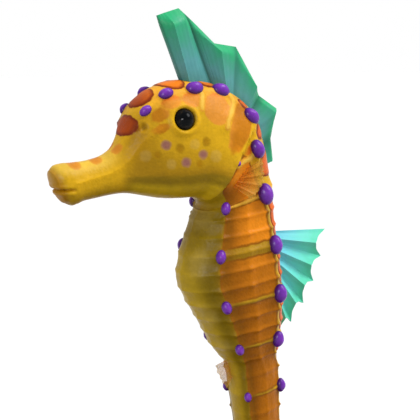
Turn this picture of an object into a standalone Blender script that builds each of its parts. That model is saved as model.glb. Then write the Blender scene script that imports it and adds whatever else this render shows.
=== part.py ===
"""A life-size seahorse, swimming upright, as a still display model on a plain stand.

The animal faces -Y with its left side at +X, and the origin is the centre of the base's underside. Its
flesh is one tube of sections along a bent spine, parted by thin cuts. Dimensions are in millimetres.
"""

import math

import bmesh
import bpy
import numpy as np

MM = 0.001
GAP = 0.3  # left between two solids that touch

# Driving dimensions
HEAD_TILT = 6.5  # degrees that the snout points below the horizon
SNOUT_TIP = (-30.0, 75.4)  # Y and Z of the spine's first point
MOUTH_SLANT, MOUTH_LENGTH = 0.34, 6.0  # the lower lip's setback for its depth, gone this far along
CORNER_EASE = 3.0  # rounds each corner of the headings this far both ways
TRUNK = 28.3  # the trunk's rings, along the spine
TAIL = 80.0  # last trunk ring to the tail tip, along the spine
TRUNK_RINGS = 11
TAIL_RINGS = 35
RING_SHRINK = 0.972  # each tail ring over the one before it
KNOB_EVERY = 3  # each third ring carries large knobs
KNOB_RINGS = 31  # rings with knobs, counted from the neck
TAIL_STRAIGHT = 14.0  # length of tail before the middle of its first bend
COIL_ONSET = 10.0  # length over which that bend sets in
COIL_RADII = (13.0, 1.8)  # radius of the coil where it begins and at the tip
TAIL_BASE, TAIL_TIP = 4.0, 0.55  # half-thickness of the tail at its ends
TAIL_TAPER = 1.1
TAIL_SHAPE = (1.0, 1.05, 0.92)  # depth to the back, to the belly and half-width over that thickness
TAIL_BLEND = 5.0  # length over which trunk turns to tail
NECK_BLEND = 6.0  # length over which the rings set in
RINGS_PER_PART = 7  # tail rings in each length
BASE_SIZE = (50.0, 70.0, 7.0)  # oval base: width, length and thickness
BASE_EDGE = 1.2
ROD_RADIUS = 1.2
ROD_IN_BASE, ROD_IN_TAIL = 4.0, 2.2  # how deep the rod goes into each

# Places along the spine, from the snout tip
SNOUT_END = 10.0
BEND_START = 21.6
NECK_START = 28.4  # back edge of the gill covers
TRUNK_START = 32.1
BEND_END = 35.0
RINGS_ABOVE_CUT = 5  # rings of the trunk's upper length
TRUNK_MIDDLE = TRUNK_START + TRUNK * RINGS_ABOVE_CUT / TRUNK_RINGS
TRUNK_END = TRUNK_START + TRUNK
SPINE_LENGTH = TRUNK_END + TAIL

# Heading of the spine, in degrees above +Y, at places along it
HEADINGS = ((0.0, HEAD_TILT), (BEND_START, HEAD_TILT), (BEND_END, -84.0), (TRUNK_END, -83.5))

# Sections: place along the spine, half-depth to the back, half-depth to the belly, half-width, and
# squareness (2 is an oval)
SECTIONS = (
    (0.0, 1.5, 1.7, 1.4, 2.0),  # lips
    (0.6, 2.5, 2.6, 2.15, 2.0),
    (1.6, 2.9, 2.85, 2.4, 2.1),
    (3.2, 2.8, 2.8, 2.3, 2.1),
    (6.0, 2.7, 2.75, 2.2, 2.1),  # waist of the snout
    (8.5, 3.1, 2.75, 2.35, 2.2),
    (10.0, 3.9, 2.85, 2.6, 2.4),
    (11.2, 5.3, 3.1, 3.0, 2.6),
    (12.4, 7.3, 3.5, 3.5, 2.8),
    (13.8, 9.0, 4.0, 4.0, 2.9),
    (15.6, 10.1, 4.6, 4.6, 2.9),
    (18.4, 11.0, 5.2, 5.3, 2.8),  # eyes
    (21.6, 11.2, 5.6, 5.7, 2.7),  # cheeks
    (24.6, 10.8, 5.9, 5.8, 2.6),
    (27.4, 9.7, 6.1, 5.6, 2.5),
    (29.4, 7.8, 6.2, 5.2, 2.4),  # nape and throat
    (31.4, 6.2, 6.4, 4.9, 2.4),
    (34.0, 5.3, 7.2, 5.0, 2.4),
    (37.0, 4.9, 8.5, 5.3, 2.4),
    (41.0, 4.8, 10.4, 5.9, 2.4),
    (45.0, 5.0, 11.5, 6.1, 2.4),  # deepest part of the trunk
    (48.5, 5.1, 10.3, 6.0, 2.4),
    (52.5, 5.0, 8.5, 5.6, 2.4),
    (57.0, 4.5, 6.6, 4.8, 2.4),
    (TRUNK_END, 3.9, 4.8, 4.0, 2.3),
)

# Ridges of the plates and the knobs on them, in degrees round a section from the back
TRUNK_RIDGES = (73.0, 101.0, 130.0, 180.0)
KNOBBED_RIDGES = (73.0, 130.0)
TAIL_RIDGES = (45.0, 135.0)
# Their width in degrees and height over the body's half-width, and the swell of each ring
TRUNK_RIDGE, TAIL_RIDGE = (9.0, 0.07), (15.0, 0.17)
RING_SWELL = 0.045
RIDGE_WAVE = 0.3  # share of a ridge's height that swells and sinks with the rings
DORSAL_KNOB, VENTRAL_KNOB = 1.3, 0.88  # radius where the body is widest
KNOB_LEAST, KNOB_GROWTH = 0.42, 0.09  # share of that radius: on a thin tail, and for each mm of half-width
KNOB_LENGTH, KNOB_HEIGHT, KNOB_LIFT = 1.2, 1.05, 0.1  # over its radius
# Knobs of the head and neck: place, angle from the back and radius
HEAD_KNOBS = (
    (14.2, 31.0, 0.85),
    (17.6, 24.0, 0.95),
    (21.6, 25.0, 1.15),
    (24.2, 27.0, 1.25),
    (27.1, 42.0, 1.25),
    (27.2, 104.0, 0.6),
)
NECK_KNOBS = ((29.6, 65.0, 1.2),)

EYE_PLACE, EYE_ANGLE = 19.1, math.radians(61.0)
EYE_RADIUS, EYE_SINK = 1.75, 0.85

FIN_ROOT = GAP + 0.2  # fin's first edge over the skin
CREST_SPAN, CREST_PLEAT, CREST_THICKNESS = (22.2, 32.2), 0.9, 0.8
# Y and Z of the crest's outline, from the front of its first lobe to the nape
CREST_OUTLINE = (
    (-13.2, 98.4),
    (-9.8, 99.6),
    (-5.2, 95.9),
    (-2.4, 94.3),
    (0.1, 94.2),
    (3.4, 90.0),
    (4.9, 86.6),
    (8.2, 84.8),
    (7.4, 80.0),
    (7.8, 76.6),
)
# Fins: span along the spine, number of rays, first and last lean in degrees, first and last length,
# and depth of the pleats
DORSAL_FIN = ((40.7, 46.6), 11, (-13, -82), (14.2, 12.9), 1.0)
ANAL_FIN = ((60.2, 62.0), 5, (-10, 38), (2.4, 2.4), 0.12)
SHORT_RAYS = 0.22  # every other dorsal ray is shorter by this share
PECTORAL_PLACE, PECTORAL_ANGLES = 29.6, (88, 108)
PECTORAL_RAYS, PECTORAL_LENGTH, PECTORAL_PLEAT = 9, 3.9, 0.15
PECTORAL_SWING = 40  # degrees that the outer rays fan up and down
PECTORAL_FLARE = 0.4  # how far they stand out sideways
PECTORAL_ROUND = 0.14  # how much longer the middle rays are
FIN_THICKNESS = 0.5


def hermite(x, xs, ys):
    """A smooth curve through the points (xs, ys), read at x."""
    xs, ys = np.asarray(xs, float), np.asarray(ys, float)
    slopes = np.gradient(ys, xs)
    x = np.clip(np.asarray(x, float), xs[0], xs[-1])
    i = np.clip(np.searchsorted(xs, x) - 1, 0, len(xs) - 2)
    span = xs[i + 1] - xs[i]
    t = (x - xs[i]) / span
    return (
        ys[i] * (2 * t**3 - 3 * t**2 + 1)
        + ys[i + 1] * (3 * t**2 - 2 * t**3)
        + slopes[i] * span * (t**3 - 2 * t**2 + t)
        + slopes[i + 1] * span * (t**3 - t**2)
    )


def eased(t):
    """0 to 1, level at both ends."""
    t = np.clip(t, 0.0, 1.0)
    return t * t * (3 - 2 * t)


def spine_table(step=0.05):
    """Places along the spine with their Y, Z and heading in radians."""
    place = np.arange(0.0, SPINE_LENGTH + step, step)
    heading = np.radians(np.interp(place, *np.transpose(HEADINGS)))
    smooth = np.hanning(round(2 * CORNER_EASE / step))
    padded = np.pad(heading, len(smooth), mode="edge")
    heading = np.convolve(padded, smooth / smooth.sum(), "same")[len(smooth) : -len(smooth)]
    left = np.maximum(SPINE_LENGTH - place, 0.0) / (TAIL - TAIL_STRAIGHT)
    radius = COIL_RADII[1] + (COIL_RADII[0] - COIL_RADII[1]) * left
    onset = eased((place - TRUNK_END - TAIL_STRAIGHT) / COIL_ONSET + 0.5)
    heading = heading - np.cumsum(onset / radius) * step
    y = SNOUT_TIP[0] + np.concatenate([[0], np.cumsum(np.cos(heading[:-1]) * step)])
    z = SNOUT_TIP[1] + np.concatenate([[0], np.cumsum(np.sin(heading[:-1]) * step)])
    return place, y, z, heading


SPINE = spine_table()
TAIL_LENGTHS = np.cumsum(RING_SHRINK ** np.arange(TAIL_RINGS))
RING_EDGES = np.concatenate(
    [
        TRUNK_START + TRUNK / TRUNK_RINGS * np.arange(TRUNK_RINGS + 1),
        TRUNK_END + TAIL * TAIL_LENGTHS / TAIL_LENGTHS[-1],
    ]
)
RING_MIDDLES = (RING_EDGES[:-1] + RING_EDGES[1:]) / 2
TAIL_CUTS = RING_EDGES[TRUNK_RINGS::RINGS_PER_PART]


def half_sizes(place):
    """Half-depth to the back and to the belly, half-width and squareness of the section at a place."""
    place = np.asarray(place, float)
    places, *columns, square = np.transpose(SECTIONS)
    along_tail = np.clip((place - TRUNK_END) / TAIL, 0.0, 1.0)
    tail = TAIL_TIP + (TAIL_BASE - TAIL_TIP) * (1.0 - along_tail) ** TAIL_TAPER
    share = eased((place - TRUNK_END) / TAIL_BLEND + 0.5)
    sizes = [
        hermite(place, places, column) * (1 - share) + tail * factor * share
        for column, factor in zip(columns, TAIL_SHAPE)
    ]
    return sizes + [np.interp(place, places, square)]


def ridge_height(place, angle):
    """How far the plates' ridges stand out of a plain section."""
    place, angle = np.broadcast_arrays(np.asarray(place, float), np.asarray(angle, float))
    turned = np.abs((np.degrees(angle) + 180.0) % 360.0 - 180.0)
    on_tail = np.clip((place - TRUNK_END) / TAIL_BLEND + 0.5, 0.0, 1.0)
    on_body = np.clip((place - NECK_START) / NECK_BLEND, 0.0, 1.0)
    trunk = sum(np.exp(-(((turned - r) / TRUNK_RIDGE[0]) ** 2)) for r in TRUNK_RIDGES)
    tail = sum(np.exp(-(((turned - r) / TAIL_RIDGE[0]) ** 2)) for r in TAIL_RIDGES)
    size = half_sizes(place)[2]
    number = np.interp(place, RING_EDGES, np.arange(len(RING_EDGES)))
    swell = 0.5 - 0.5 * np.cos(2 * np.pi * number)
    lengthwise = TRUNK_RIDGE[1] * trunk * (1 - on_tail) + TAIL_RIDGE[1] * tail * on_tail
    wave = 1 - RIDGE_WAVE * (1 - swell)
    return on_body * size * (lengthwise * wave + RING_SWELL * swell)


def surface(place, angle):
    """Points of the skin, for places along the spine and angles round it from the back."""
    place, angle = np.broadcast_arrays(np.asarray(place, float), np.asarray(angle, float))
    y, z, heading = (np.interp(place, SPINE[0], column) for column in SPINE[1:])
    back, belly, width, square = half_sizes(place)
    rise = ridge_height(place, angle)
    sine, cosine = np.sin(angle), np.cos(angle)
    across = (width + rise) * np.sign(sine) * np.abs(sine) ** (2 / square)
    up = np.where(cosine > 0, back, belly) + rise
    up = up * np.sign(cosine) * np.abs(cosine) ** (2 / square)
    setback = MOUTH_SLANT * (1 - eased(place / MOUTH_LENGTH)) * (back - up)
    y = y + np.cos(heading) * setback - np.sin(heading) * up
    z = z + np.sin(heading) * setback + np.cos(heading) * up
    return np.stack([across, y, z], axis=-1)


def outward(place, angle):
    """The skin's outward normal at one place."""
    h = 0.02
    along = surface(place + h, angle) - surface(place - h, angle)
    around = surface(place, angle + h) - surface(place, angle - h)
    normal = np.cross(around, along)
    return normal / np.linalg.norm(normal)


def material(name, colour, roughness, metallic=0.0):
    """A plain finish, its colour in linear light."""
    made = bpy.data.materials.new(name)
    made.use_nodes = True
    shader = made.node_tree.nodes["Principled BSDF"]
    shader.inputs["Base Color"].default_value = (*colour, 1.0)
    shader.inputs["Roughness"].default_value = roughness
    shader.inputs["Metallic"].default_value = metallic
    made.diffuse_color = (*colour, 1.0)
    return made


def mesh_from(name, build):
    """A mesh filled by build(bm) in millimetres."""
    bm = bmesh.new()
    build(bm)
    bmesh.ops.recalc_face_normals(bm, faces=bm.faces)
    bmesh.ops.scale(bm, vec=(MM, MM, MM), verts=bm.verts)
    mesh = bpy.data.meshes.new(name)
    bm.to_mesh(mesh)
    bm.free()
    return mesh


def add(name, mesh, finish, collection):
    """A new part of that mesh with its finish, smooth but for its sharp edges."""
    mesh.materials.append(finish)
    mesh.shade_smooth()
    mesh.set_sharp_from_angle(angle=math.radians(45))
    made = bpy.data.objects.new(name, mesh)
    collection.objects.link(made)
    return made


def boolean(target, operation, name, mesh, cutters):
    """Cuts a mesh from the target or joins it to the target."""
    other = bpy.data.objects.new(name, mesh)
    cutters.objects.link(other)
    other.hide_render = True
    other.display_type = "WIRE"
    modifier = target.modifiers.new(name, "BOOLEAN")
    modifier.operation = operation
    modifier.solver = "EXACT"
    modifier.object = other


def loft(places, angles):
    """A closed tube through the body's sections at these places, with a flat face at each end."""

    def build(bm):
        rows = [[bm.verts.new(p) for p in surface(s, angles)] for s in places]
        around = len(angles)
        for low, high in zip(rows, rows[1:]):
            for i in range(around):
                j = (i + 1) % around
                bm.faces.new((low[i], high[i], high[j], low[j]))
        bm.faces.new(rows[0])
        bm.faces.new(rows[-1])

    return mesh_from("loft", build)


def ring_places(start, end):
    """The edges of the rings between two cuts, and their middles where the body isn't too thin."""
    first, last = start + GAP / 2, end - GAP / 2
    inner = RING_EDGES
    if half_sizes(start)[2] > 2.2:
        inner = np.sort(np.concatenate([RING_EDGES, RING_MIDDLES]))
    inner = inner[(inner > first + 0.1) & (inner < last - 0.1)]
    return np.concatenate([[first], inner, [last]])


def both_sides(half):
    """Angles round a section from those of its left half, back and belly included."""
    return np.radians(half + [360 - a for a in half[-2:0:-1]])


HEAD_ANGLES = both_sides(list(range(0, 181, 15)))
TRUNK_ANGLES = both_sides([0, 24, 48, 61, 73, 82, 92, 101, 111, 120, 130, 147, 163, 180])
TAIL_ANGLES = both_sides([0, 22.5, 45, 67.5, 90, 112.5, 135, 157.5, 180])


def knob(bm, place, angle, radius):
    """A rounded knob on the skin."""
    at = surface(place, angle)
    normal = outward(place, angle)
    along = surface(place + 0.05, angle) - at
    along -= normal * (along @ normal)
    along /= np.linalg.norm(along)
    across = np.cross(normal, along)
    ball = bmesh.ops.create_uvsphere(bm, u_segments=6, v_segments=4, radius=radius)["verts"]
    for vertex in ball:
        x, y, z = vertex.co
        z = KNOB_HEIGHT * z + KNOB_LIFT * radius
        vertex.co = at + across * x + along * KNOB_LENGTH * y + normal * z


def knobs_of_rings(start, end):
    """Place, angle and radius of the knobs between two cuts, on one side."""
    found = []
    for number, middle in enumerate(RING_MIDDLES[:KNOB_RINGS]):
        if number % KNOB_EVERY or not start < middle < end:
            continue
        dorsal, ventral = KNOBBED_RIDGES if number < TRUNK_RINGS else TAIL_RIDGES
        taper = KNOB_LEAST + KNOB_GROWTH * half_sizes(middle)[2]
        found += [(middle, dorsal, DORSAL_KNOB * taper), (middle, ventral, VENTRAL_KNOB * taper)]
    return found


def with_knobs(target, knobs, cutters):
    """Joins pairs of knobs to the solid they grow from."""

    def build(bm):
        for place, angle, radius in knobs:
            knob(bm, place, math.radians(angle), radius)
            knob(bm, place, math.radians(-angle), radius)

    if knobs:
        name = target.name + "_knobs"
        boolean(target, "UNION", name, mesh_from(name, build), cutters)


def ball(radius, centre):
    def build(bm):
        made = bmesh.ops.create_uvsphere(bm, u_segments=16, v_segments=10, radius=radius)
        bmesh.ops.translate(bm, verts=made["verts"], vec=centre)

    return mesh_from("ball", build)


def build_head(parts, cutters, skin, eye):
    """Snout, skull with the eye sockets cut in it, and the eyes."""
    places = [0.0, 0.6, 1.6, 3.4, 6.0, 8.5, SNOUT_END - GAP / 2]
    add("snout", loft(places, HEAD_ANGLES), skin, parts)
    places = np.linspace(SNOUT_END + GAP / 2, NECK_START - GAP / 2, 16)
    head = add("head", loft(places, HEAD_ANGLES), skin, parts)
    with_knobs(head, HEAD_KNOBS, cutters)
    for name, angle in (("left", EYE_ANGLE), ("right", -EYE_ANGLE)):
        centre = surface(EYE_PLACE, angle) - outward(EYE_PLACE, angle) * EYE_SINK
        add("eye_" + name, ball(EYE_RADIUS, centre), eye, parts)
        boolean(head, "DIFFERENCE", "socket_" + name, ball(EYE_RADIUS + GAP, centre), cutters)


def build_body(parts, cutters, skin):
    """Neck, two lengths of trunk and five of tail, each with its knobs."""
    places = np.linspace(NECK_START + GAP / 2, TRUNK_START - GAP / 2, 5)
    neck = add("neck", loft(places, TRUNK_ANGLES), skin, parts)
    with_knobs(neck, NECK_KNOBS, cutters)
    lengths = [
        ("trunk_upper", TRUNK_START, TRUNK_MIDDLE, TRUNK_ANGLES),
        ("trunk_lower", TRUNK_MIDDLE, TRUNK_END, TRUNK_ANGLES),
    ]
    for number, (start, end) in enumerate(zip(TAIL_CUTS, TAIL_CUTS[1:]), start=1):
        lengths.append((f"tail_{number}", start, end, TAIL_ANGLES))
    for name, start, end, angles in lengths:
        length = add(name, loft(ring_places(start, end), angles), skin, parts)
        with_knobs(length, knobs_of_rings(start, end), cutters)


def fin(name, roots, tips, pleat, thickness, finish, parts, steps):
    """A fan of rays from roots to tips, folded to and fro, with real thickness."""
    roots, tips = np.asarray(roots, float), np.asarray(tips, float)
    sideways = np.cross(tips[0] - roots[0], tips[-1] - roots[-1])
    sideways /= np.linalg.norm(sideways)

    def build(bm):
        bmesh.ops.create_grid(bm, x_segments=steps, y_segments=len(roots) - 1, size=1.0)
        for number, vertex in enumerate(bm.verts):
            ray, step = divmod(number, steps + 1)
            share = step / steps
            fold = pleat * share * (1 if ray % 2 else -1)
            vertex.co = roots[ray] * (1 - share) + tips[ray] * share + sideways * fold

    made = add(name, mesh_from(name, build), finish, parts)
    solid = made.modifiers.new("thickness", "SOLIDIFY")
    solid.thickness = thickness * MM
    solid.offset = 0.0


def midline_rays(span, count, angle, leans, lengths):
    """Roots just over the skin's midline, and tips that lean from the direction square to their row."""
    roots, tips = [], []
    for place in np.linspace(*span, count):
        roots.append(surface(place, angle) + outward(place, angle) * FIN_ROOT)
    row = roots[-1] - roots[0]
    square_to_row = math.atan2(row[2], row[1]) + math.copysign(math.pi / 2, math.cos(angle))
    for root, share in zip(roots, np.linspace(0, 1, count)):
        lean = square_to_row + math.radians(np.interp(share, [0, 1], leans))
        length = np.interp(share, [0, 1], lengths)
        tips.append(root + length * np.array([0.0, math.cos(lean), math.sin(lean)]))
    return np.array(roots), np.array(tips)


def build_fins(parts, finish):
    """Crest down the nape, dorsal fin, tiny anal fin, and a pectoral fin behind each gill cover."""
    count = len(CREST_OUTLINE)
    roots, _ = midline_rays(CREST_SPAN, count, 0.0, (0, 0), (1, 1))
    tips = [(0.0, y, z) for y, z in CREST_OUTLINE]
    fin("crest", roots, tips, CREST_PLEAT, CREST_THICKNESS, finish, parts, steps=4)

    span, count, leans, lengths, pleat = DORSAL_FIN
    roots, tips = midline_rays(span, count, 0.0, leans, lengths)
    tips[1::2] += SHORT_RAYS * (roots - tips)[1::2]
    fin("fin_dorsal", roots, tips, pleat, FIN_THICKNESS, finish, parts, steps=3)

    span, count, leans, lengths, pleat = ANAL_FIN
    roots, tips = midline_rays(span, count, math.pi, leans, lengths)
    fin("fin_anal", roots, tips, pleat, FIN_THICKNESS, finish, parts, steps=2)

    for name, side in (("left", 1), ("right", -1)):
        roots, tips = [], []
        for share in np.linspace(0, 1, PECTORAL_RAYS):
            angle = side * math.radians(np.interp(share, [0, 1], PECTORAL_ANGLES))
            swing = math.radians(PECTORAL_SWING * (1 - 2 * share))
            out = np.array([side * PECTORAL_FLARE, math.cos(swing), math.sin(swing)])
            normal = outward(PECTORAL_PLACE, angle)
            root = surface(PECTORAL_PLACE, angle) + normal * (FIN_ROOT + GAP / 3)
            rounded = 1 - PECTORAL_ROUND * (1 - math.sin(math.pi * share))
            roots.append(root)
            tips.append(root + out / np.linalg.norm(out) * PECTORAL_LENGTH * rounded)
        name = "fin_pectoral_" + name
        fin(name, roots, tips, PECTORAL_PLEAT, FIN_THICKNESS, finish, parts, steps=2)


def cylinder(radius, low, high, y, sides=24):
    """An upright cylinder in the animal's middle plane."""

    def build(bm):
        made = bmesh.ops.create_cone(
            bm, cap_ends=True, segments=sides, radius1=radius, radius2=radius, depth=high - low
        )
        bmesh.ops.translate(bm, verts=made["verts"], vec=(0.0, y, (low + high) / 2))

    return mesh_from("cylinder", build)


def build_stand(parts, cutters, wood, brass):
    """Oval base and one rod, which plugs into a hole in the base and one under the tail's coil."""
    width, length, thickness = BASE_SIZE
    places = np.linspace(TRUNK_END, SPINE_LENGTH, 400)
    under = surface(places, 0.0)
    lowest = int(np.argmin(under[:, 2]))
    y, z = under[lowest, 1:]

    def oval(bm):
        bmesh.ops.create_cone(
            bm, cap_ends=True, segments=48, radius1=1.0, radius2=1.0, depth=thickness
        )
        bmesh.ops.scale(bm, vec=(width / 2, length / 2, 1.0), verts=bm.verts)
        bmesh.ops.translate(bm, vec=(0, 0, thickness / 2), verts=bm.verts)

    base = add("stand_base", mesh_from("stand_base", oval), wood, parts)
    edge = base.modifiers.new("edge", "BEVEL")
    edge.width = BASE_EDGE * MM
    edge.segments = 1
    edge.limit_method = "ANGLE"

    low, high = thickness - ROD_IN_BASE, z + ROD_IN_TAIL
    add("stand_rod", cylinder(ROD_RADIUS, low, high, y), brass, parts)
    hole = cylinder(ROD_RADIUS + GAP, low - GAP, thickness + 5, y)
    boolean(base, "DIFFERENCE", "hole_base", hole, cutters)
    held = parts.objects[f"tail_{int(np.searchsorted(TAIL_CUTS, places[lowest]))}"]
    hole = cylinder(ROD_RADIUS + GAP, z - 5, high + GAP, y)
    boolean(held, "DIFFERENCE", "hole_tail", hole, cutters)


def main():
    for obj in list(bpy.data.objects):
        bpy.data.objects.remove(obj)
    parts = bpy.data.collections.new("seahorse")
    cutters = bpy.data.collections.new("cutters")
    for collection in (parts, cutters):
        bpy.context.scene.collection.children.link(collection)
    skin = material("skin", (0.72, 0.40, 0.03), 0.45)
    eye = material("eye", (0.01, 0.012, 0.015), 0.1)
    membrane = material("fin_membrane", (0.13, 0.52, 0.45), 0.4)
    wood = material("stand_wood", (0.09, 0.045, 0.025), 0.5)
    brass = material("stand_brass", (0.7, 0.5, 0.22), 0.3, 1.0)
    build_head(parts, cutters, skin, eye)
    build_body(parts, cutters, skin)
    build_fins(parts, membrane)
    build_stand(parts, cutters, wood, brass)


main()
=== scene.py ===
"""The looks of the seahorse model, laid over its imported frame: hide, knobs, eyes, fins and stand.

The animal faces -Y with its left side at +X. Shapes are worked out in mm and made in metres.
"""

import math

import bpy
import numpy as np
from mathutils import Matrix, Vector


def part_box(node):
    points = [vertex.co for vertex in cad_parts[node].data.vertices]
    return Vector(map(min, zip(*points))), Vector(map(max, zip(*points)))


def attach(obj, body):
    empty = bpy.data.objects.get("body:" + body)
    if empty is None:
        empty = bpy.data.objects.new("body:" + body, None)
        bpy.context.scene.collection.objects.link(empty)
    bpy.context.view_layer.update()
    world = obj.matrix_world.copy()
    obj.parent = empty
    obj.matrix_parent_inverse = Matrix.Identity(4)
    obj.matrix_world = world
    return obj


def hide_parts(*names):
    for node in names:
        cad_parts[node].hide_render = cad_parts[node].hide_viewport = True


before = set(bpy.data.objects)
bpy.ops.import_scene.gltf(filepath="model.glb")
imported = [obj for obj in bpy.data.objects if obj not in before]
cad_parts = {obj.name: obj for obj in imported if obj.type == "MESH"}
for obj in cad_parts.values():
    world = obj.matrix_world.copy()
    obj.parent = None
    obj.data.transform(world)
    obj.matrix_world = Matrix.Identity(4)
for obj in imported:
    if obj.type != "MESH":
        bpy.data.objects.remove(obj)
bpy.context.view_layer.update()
bpy.ops.object.select_all(action="DESELECT")

# ---- Hide ----
# The body is one tube of thin damp skin, drawn tight over rings of bony plates and shrunk onto
# their ridges. It grows as a single cover, so it is one closed mesh along a bent spine, from lips
# to tail tip.
MM = 0.001
HEAD_TILT = 6.5  # degrees that the snout points below the horizon
SNOUT_TIP = (-30.0, 75.4)  # Y and Z of the spine's first point
MOUTH_SLANT, MOUTH_LENGTH = 0.28, 6.0  # the lower lip's setback for its depth, gone this far along
CORNER_EASE = 3.0  # rounds the spine's corners this far both ways
BEND_START, NECK_START, TRUNK_START, BEND_END = 21.6, 28.4, 32.1, 35.0  # places along the spine
NECK, TRUNK, TAIL = 6.0, 28.3, 80.0  # lengths
TRUNK_END = TRUNK_START + TRUNK
SPINE_LENGTH = TRUNK_END + TAIL
# Places, with the degrees that the spine climbs from there
HEADINGS = ((0.0, HEAD_TILT), (BEND_START, HEAD_TILT), (BEND_END, -84.0), (TRUNK_END, -83.5))
TAIL_STRAIGHT, COIL_ONSET, COIL_RADII = 14.0, 10.0, (13.0, 1.8)
TRUNK_RINGS, TAIL_RINGS, RING_SHRINK = 11, 35, 0.972
TAIL_BASE, TAIL_TIP, TAIL_TAPER, TAIL_BLEND = 4.0, 0.55, 1.1, 5.0
TAIL_SHAPE = (1.0, 1.05, 0.92)  # half-depth to back and belly and half-width, over the taper's
# Sections: place along the spine, half-depth to the back, half-depth to the belly, half-width, and
# squareness (2 is an oval)
SECTIONS = (
    (0.0, 2.3, 2.5, 1.8, 2.1),
    (0.5, 2.75, 2.95, 2.2, 2.1),
    (1.6, 2.95, 3.0, 2.4, 2.1),
    (3.2, 2.8, 2.8, 2.3, 2.1),
    (6.0, 2.7, 2.75, 2.2, 2.1),
    (8.5, 3.1, 2.75, 2.35, 2.2),
    (10.0, 3.9, 2.85, 2.6, 2.4),
    (11.2, 5.3, 3.1, 3.0, 2.6),
    (12.4, 7.3, 3.5, 3.5, 2.8),
    (13.8, 9.0, 4.0, 4.0, 2.9),
    (15.6, 10.1, 4.6, 4.6, 2.9),
    (18.4, 11.0, 5.2, 5.3, 2.8),
    (21.6, 11.2, 5.6, 5.7, 2.7),
    (24.6, 10.8, 5.9, 5.8, 2.6),
    (27.4, 9.7, 6.1, 5.6, 2.5),
    (29.4, 7.8, 6.2, 5.2, 2.4),
    (31.4, 6.2, 6.4, 4.9, 2.4),
    (34.0, 5.3, 7.2, 5.0, 2.4),
    (37.0, 4.9, 8.5, 5.3, 2.4),
    (41.0, 4.8, 10.4, 5.9, 2.4),
    (45.0, 5.0, 11.5, 6.1, 2.4),
    (48.5, 5.1, 10.3, 6.0, 2.4),
    (52.5, 5.0, 8.5, 5.6, 2.4),
    (57.0, 4.5, 6.6, 4.8, 2.4),
    (TRUNK_END, 3.9, 4.8, 4.0, 2.3),
)


def hermite(x, xs, ys):
    """A smooth curve through the points (xs, ys), read at x."""
    xs, ys = np.asarray(xs, float), np.asarray(ys, float)
    slopes = np.gradient(ys, xs)
    x = np.clip(np.asarray(x, float), xs[0], xs[-1])
    i = np.clip(np.searchsorted(xs, x) - 1, 0, len(xs) - 2)
    span = xs[i + 1] - xs[i]
    t = (x - xs[i]) / span
    return (
        ys[i] * (2 * t**3 - 3 * t**2 + 1)
        + ys[i + 1] * (3 * t**2 - 2 * t**3)
        + slopes[i] * span * (t**3 - 2 * t**2 + t)
        + slopes[i + 1] * span * (t**3 - t**2)
    )


def eased(t):
    """0 to 1, level at both ends."""
    t = np.clip(t, 0.0, 1.0)
    return t * t * (3 - 2 * t)


def spine_table(step=0.05):
    """Places along the spine with their Y, Z and heading in radians."""
    place = np.arange(0.0, SPINE_LENGTH + step, step)
    heading = np.radians(np.interp(place, *np.transpose(HEADINGS)))
    smooth = np.hanning(round(2 * CORNER_EASE / step))
    padded = np.pad(heading, len(smooth), mode="edge")
    heading = np.convolve(padded, smooth / smooth.sum(), "same")[len(smooth) : -len(smooth)]
    left = np.maximum(SPINE_LENGTH - place, 0.0) / (TAIL - TAIL_STRAIGHT)
    radius = COIL_RADII[1] + (COIL_RADII[0] - COIL_RADII[1]) * left
    onset = eased((place - TRUNK_END - TAIL_STRAIGHT) / COIL_ONSET + 0.5)
    heading = heading - np.cumsum(onset / radius) * step
    y = SNOUT_TIP[0] + np.concatenate([[0], np.cumsum(np.cos(heading[:-1]) * step)])
    z = SNOUT_TIP[1] + np.concatenate([[0], np.cumsum(np.sin(heading[:-1]) * step)])
    return place, y, z, heading


SPINE = spine_table()
tail_lengths = np.cumsum(RING_SHRINK ** np.arange(TAIL_RINGS))
trunk_edges = TRUNK_START + TRUNK / TRUNK_RINGS * np.arange(TRUNK_RINGS + 1)
RING_EDGES = np.concatenate([trunk_edges, TRUNK_END + TAIL * tail_lengths / tail_lengths[-1]])
RING_MIDDLES = (RING_EDGES[:-1] + RING_EDGES[1:]) / 2


def tail_share(place):
    """0 on the trunk, 1 on the tail."""
    return eased((np.asarray(place, float) - TRUNK_END) / TAIL_BLEND + 0.5)


def half_sizes(place):
    """The section at a place: half-depth to back and to belly, half-width and squareness."""
    places, *columns, square = np.transpose(SECTIONS)
    along_tail = np.clip((place - TRUNK_END) / TAIL, 0.0, 1.0)
    tail = TAIL_TIP + (TAIL_BASE - TAIL_TIP) * (1.0 - along_tail) ** TAIL_TAPER
    share = tail_share(place)
    sizes = [
        hermite(place, places, column) * (1 - share) + tail * factor * share
        for column, factor in zip(columns, TAIL_SHAPE)
    ]
    return sizes + [np.interp(place, places, square)]


def flesh(place, angle):
    """Points of the body without its relief, at places along the spine and angles from the back."""
    place, angle = np.broadcast_arrays(np.asarray(place, float), np.asarray(angle, float))
    y, z, heading = (np.interp(place, SPINE[0], column) for column in SPINE[1:])
    back, belly, width, square = half_sizes(place)
    sine, cosine = np.sin(angle), np.cos(angle)
    across = width * np.sign(sine) * np.abs(sine) ** (2 / square)
    up = np.where(cosine > 0, back, belly) * np.sign(cosine) * np.abs(cosine) ** (2 / square)
    setback = MOUTH_SLANT * (1 - eased(place / MOUTH_LENGTH)) * (back - up)
    y = y + np.cos(heading) * setback - np.sin(heading) * up
    z = z + np.sin(heading) * setback + np.cos(heading) * up
    return np.stack([across, y, z], axis=-1)


def unit(vectors):
    return vectors / np.maximum(np.linalg.norm(vectors, axis=-1, keepdims=True), 1e-9)


def outward(place, angle, h=0.03):
    """The flesh's outward normals."""
    along = flesh(place + h, angle) - flesh(place - h, angle)
    around = flesh(place, angle + h) - flesh(place, angle - h)
    return unit(np.cross(around, along))


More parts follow.
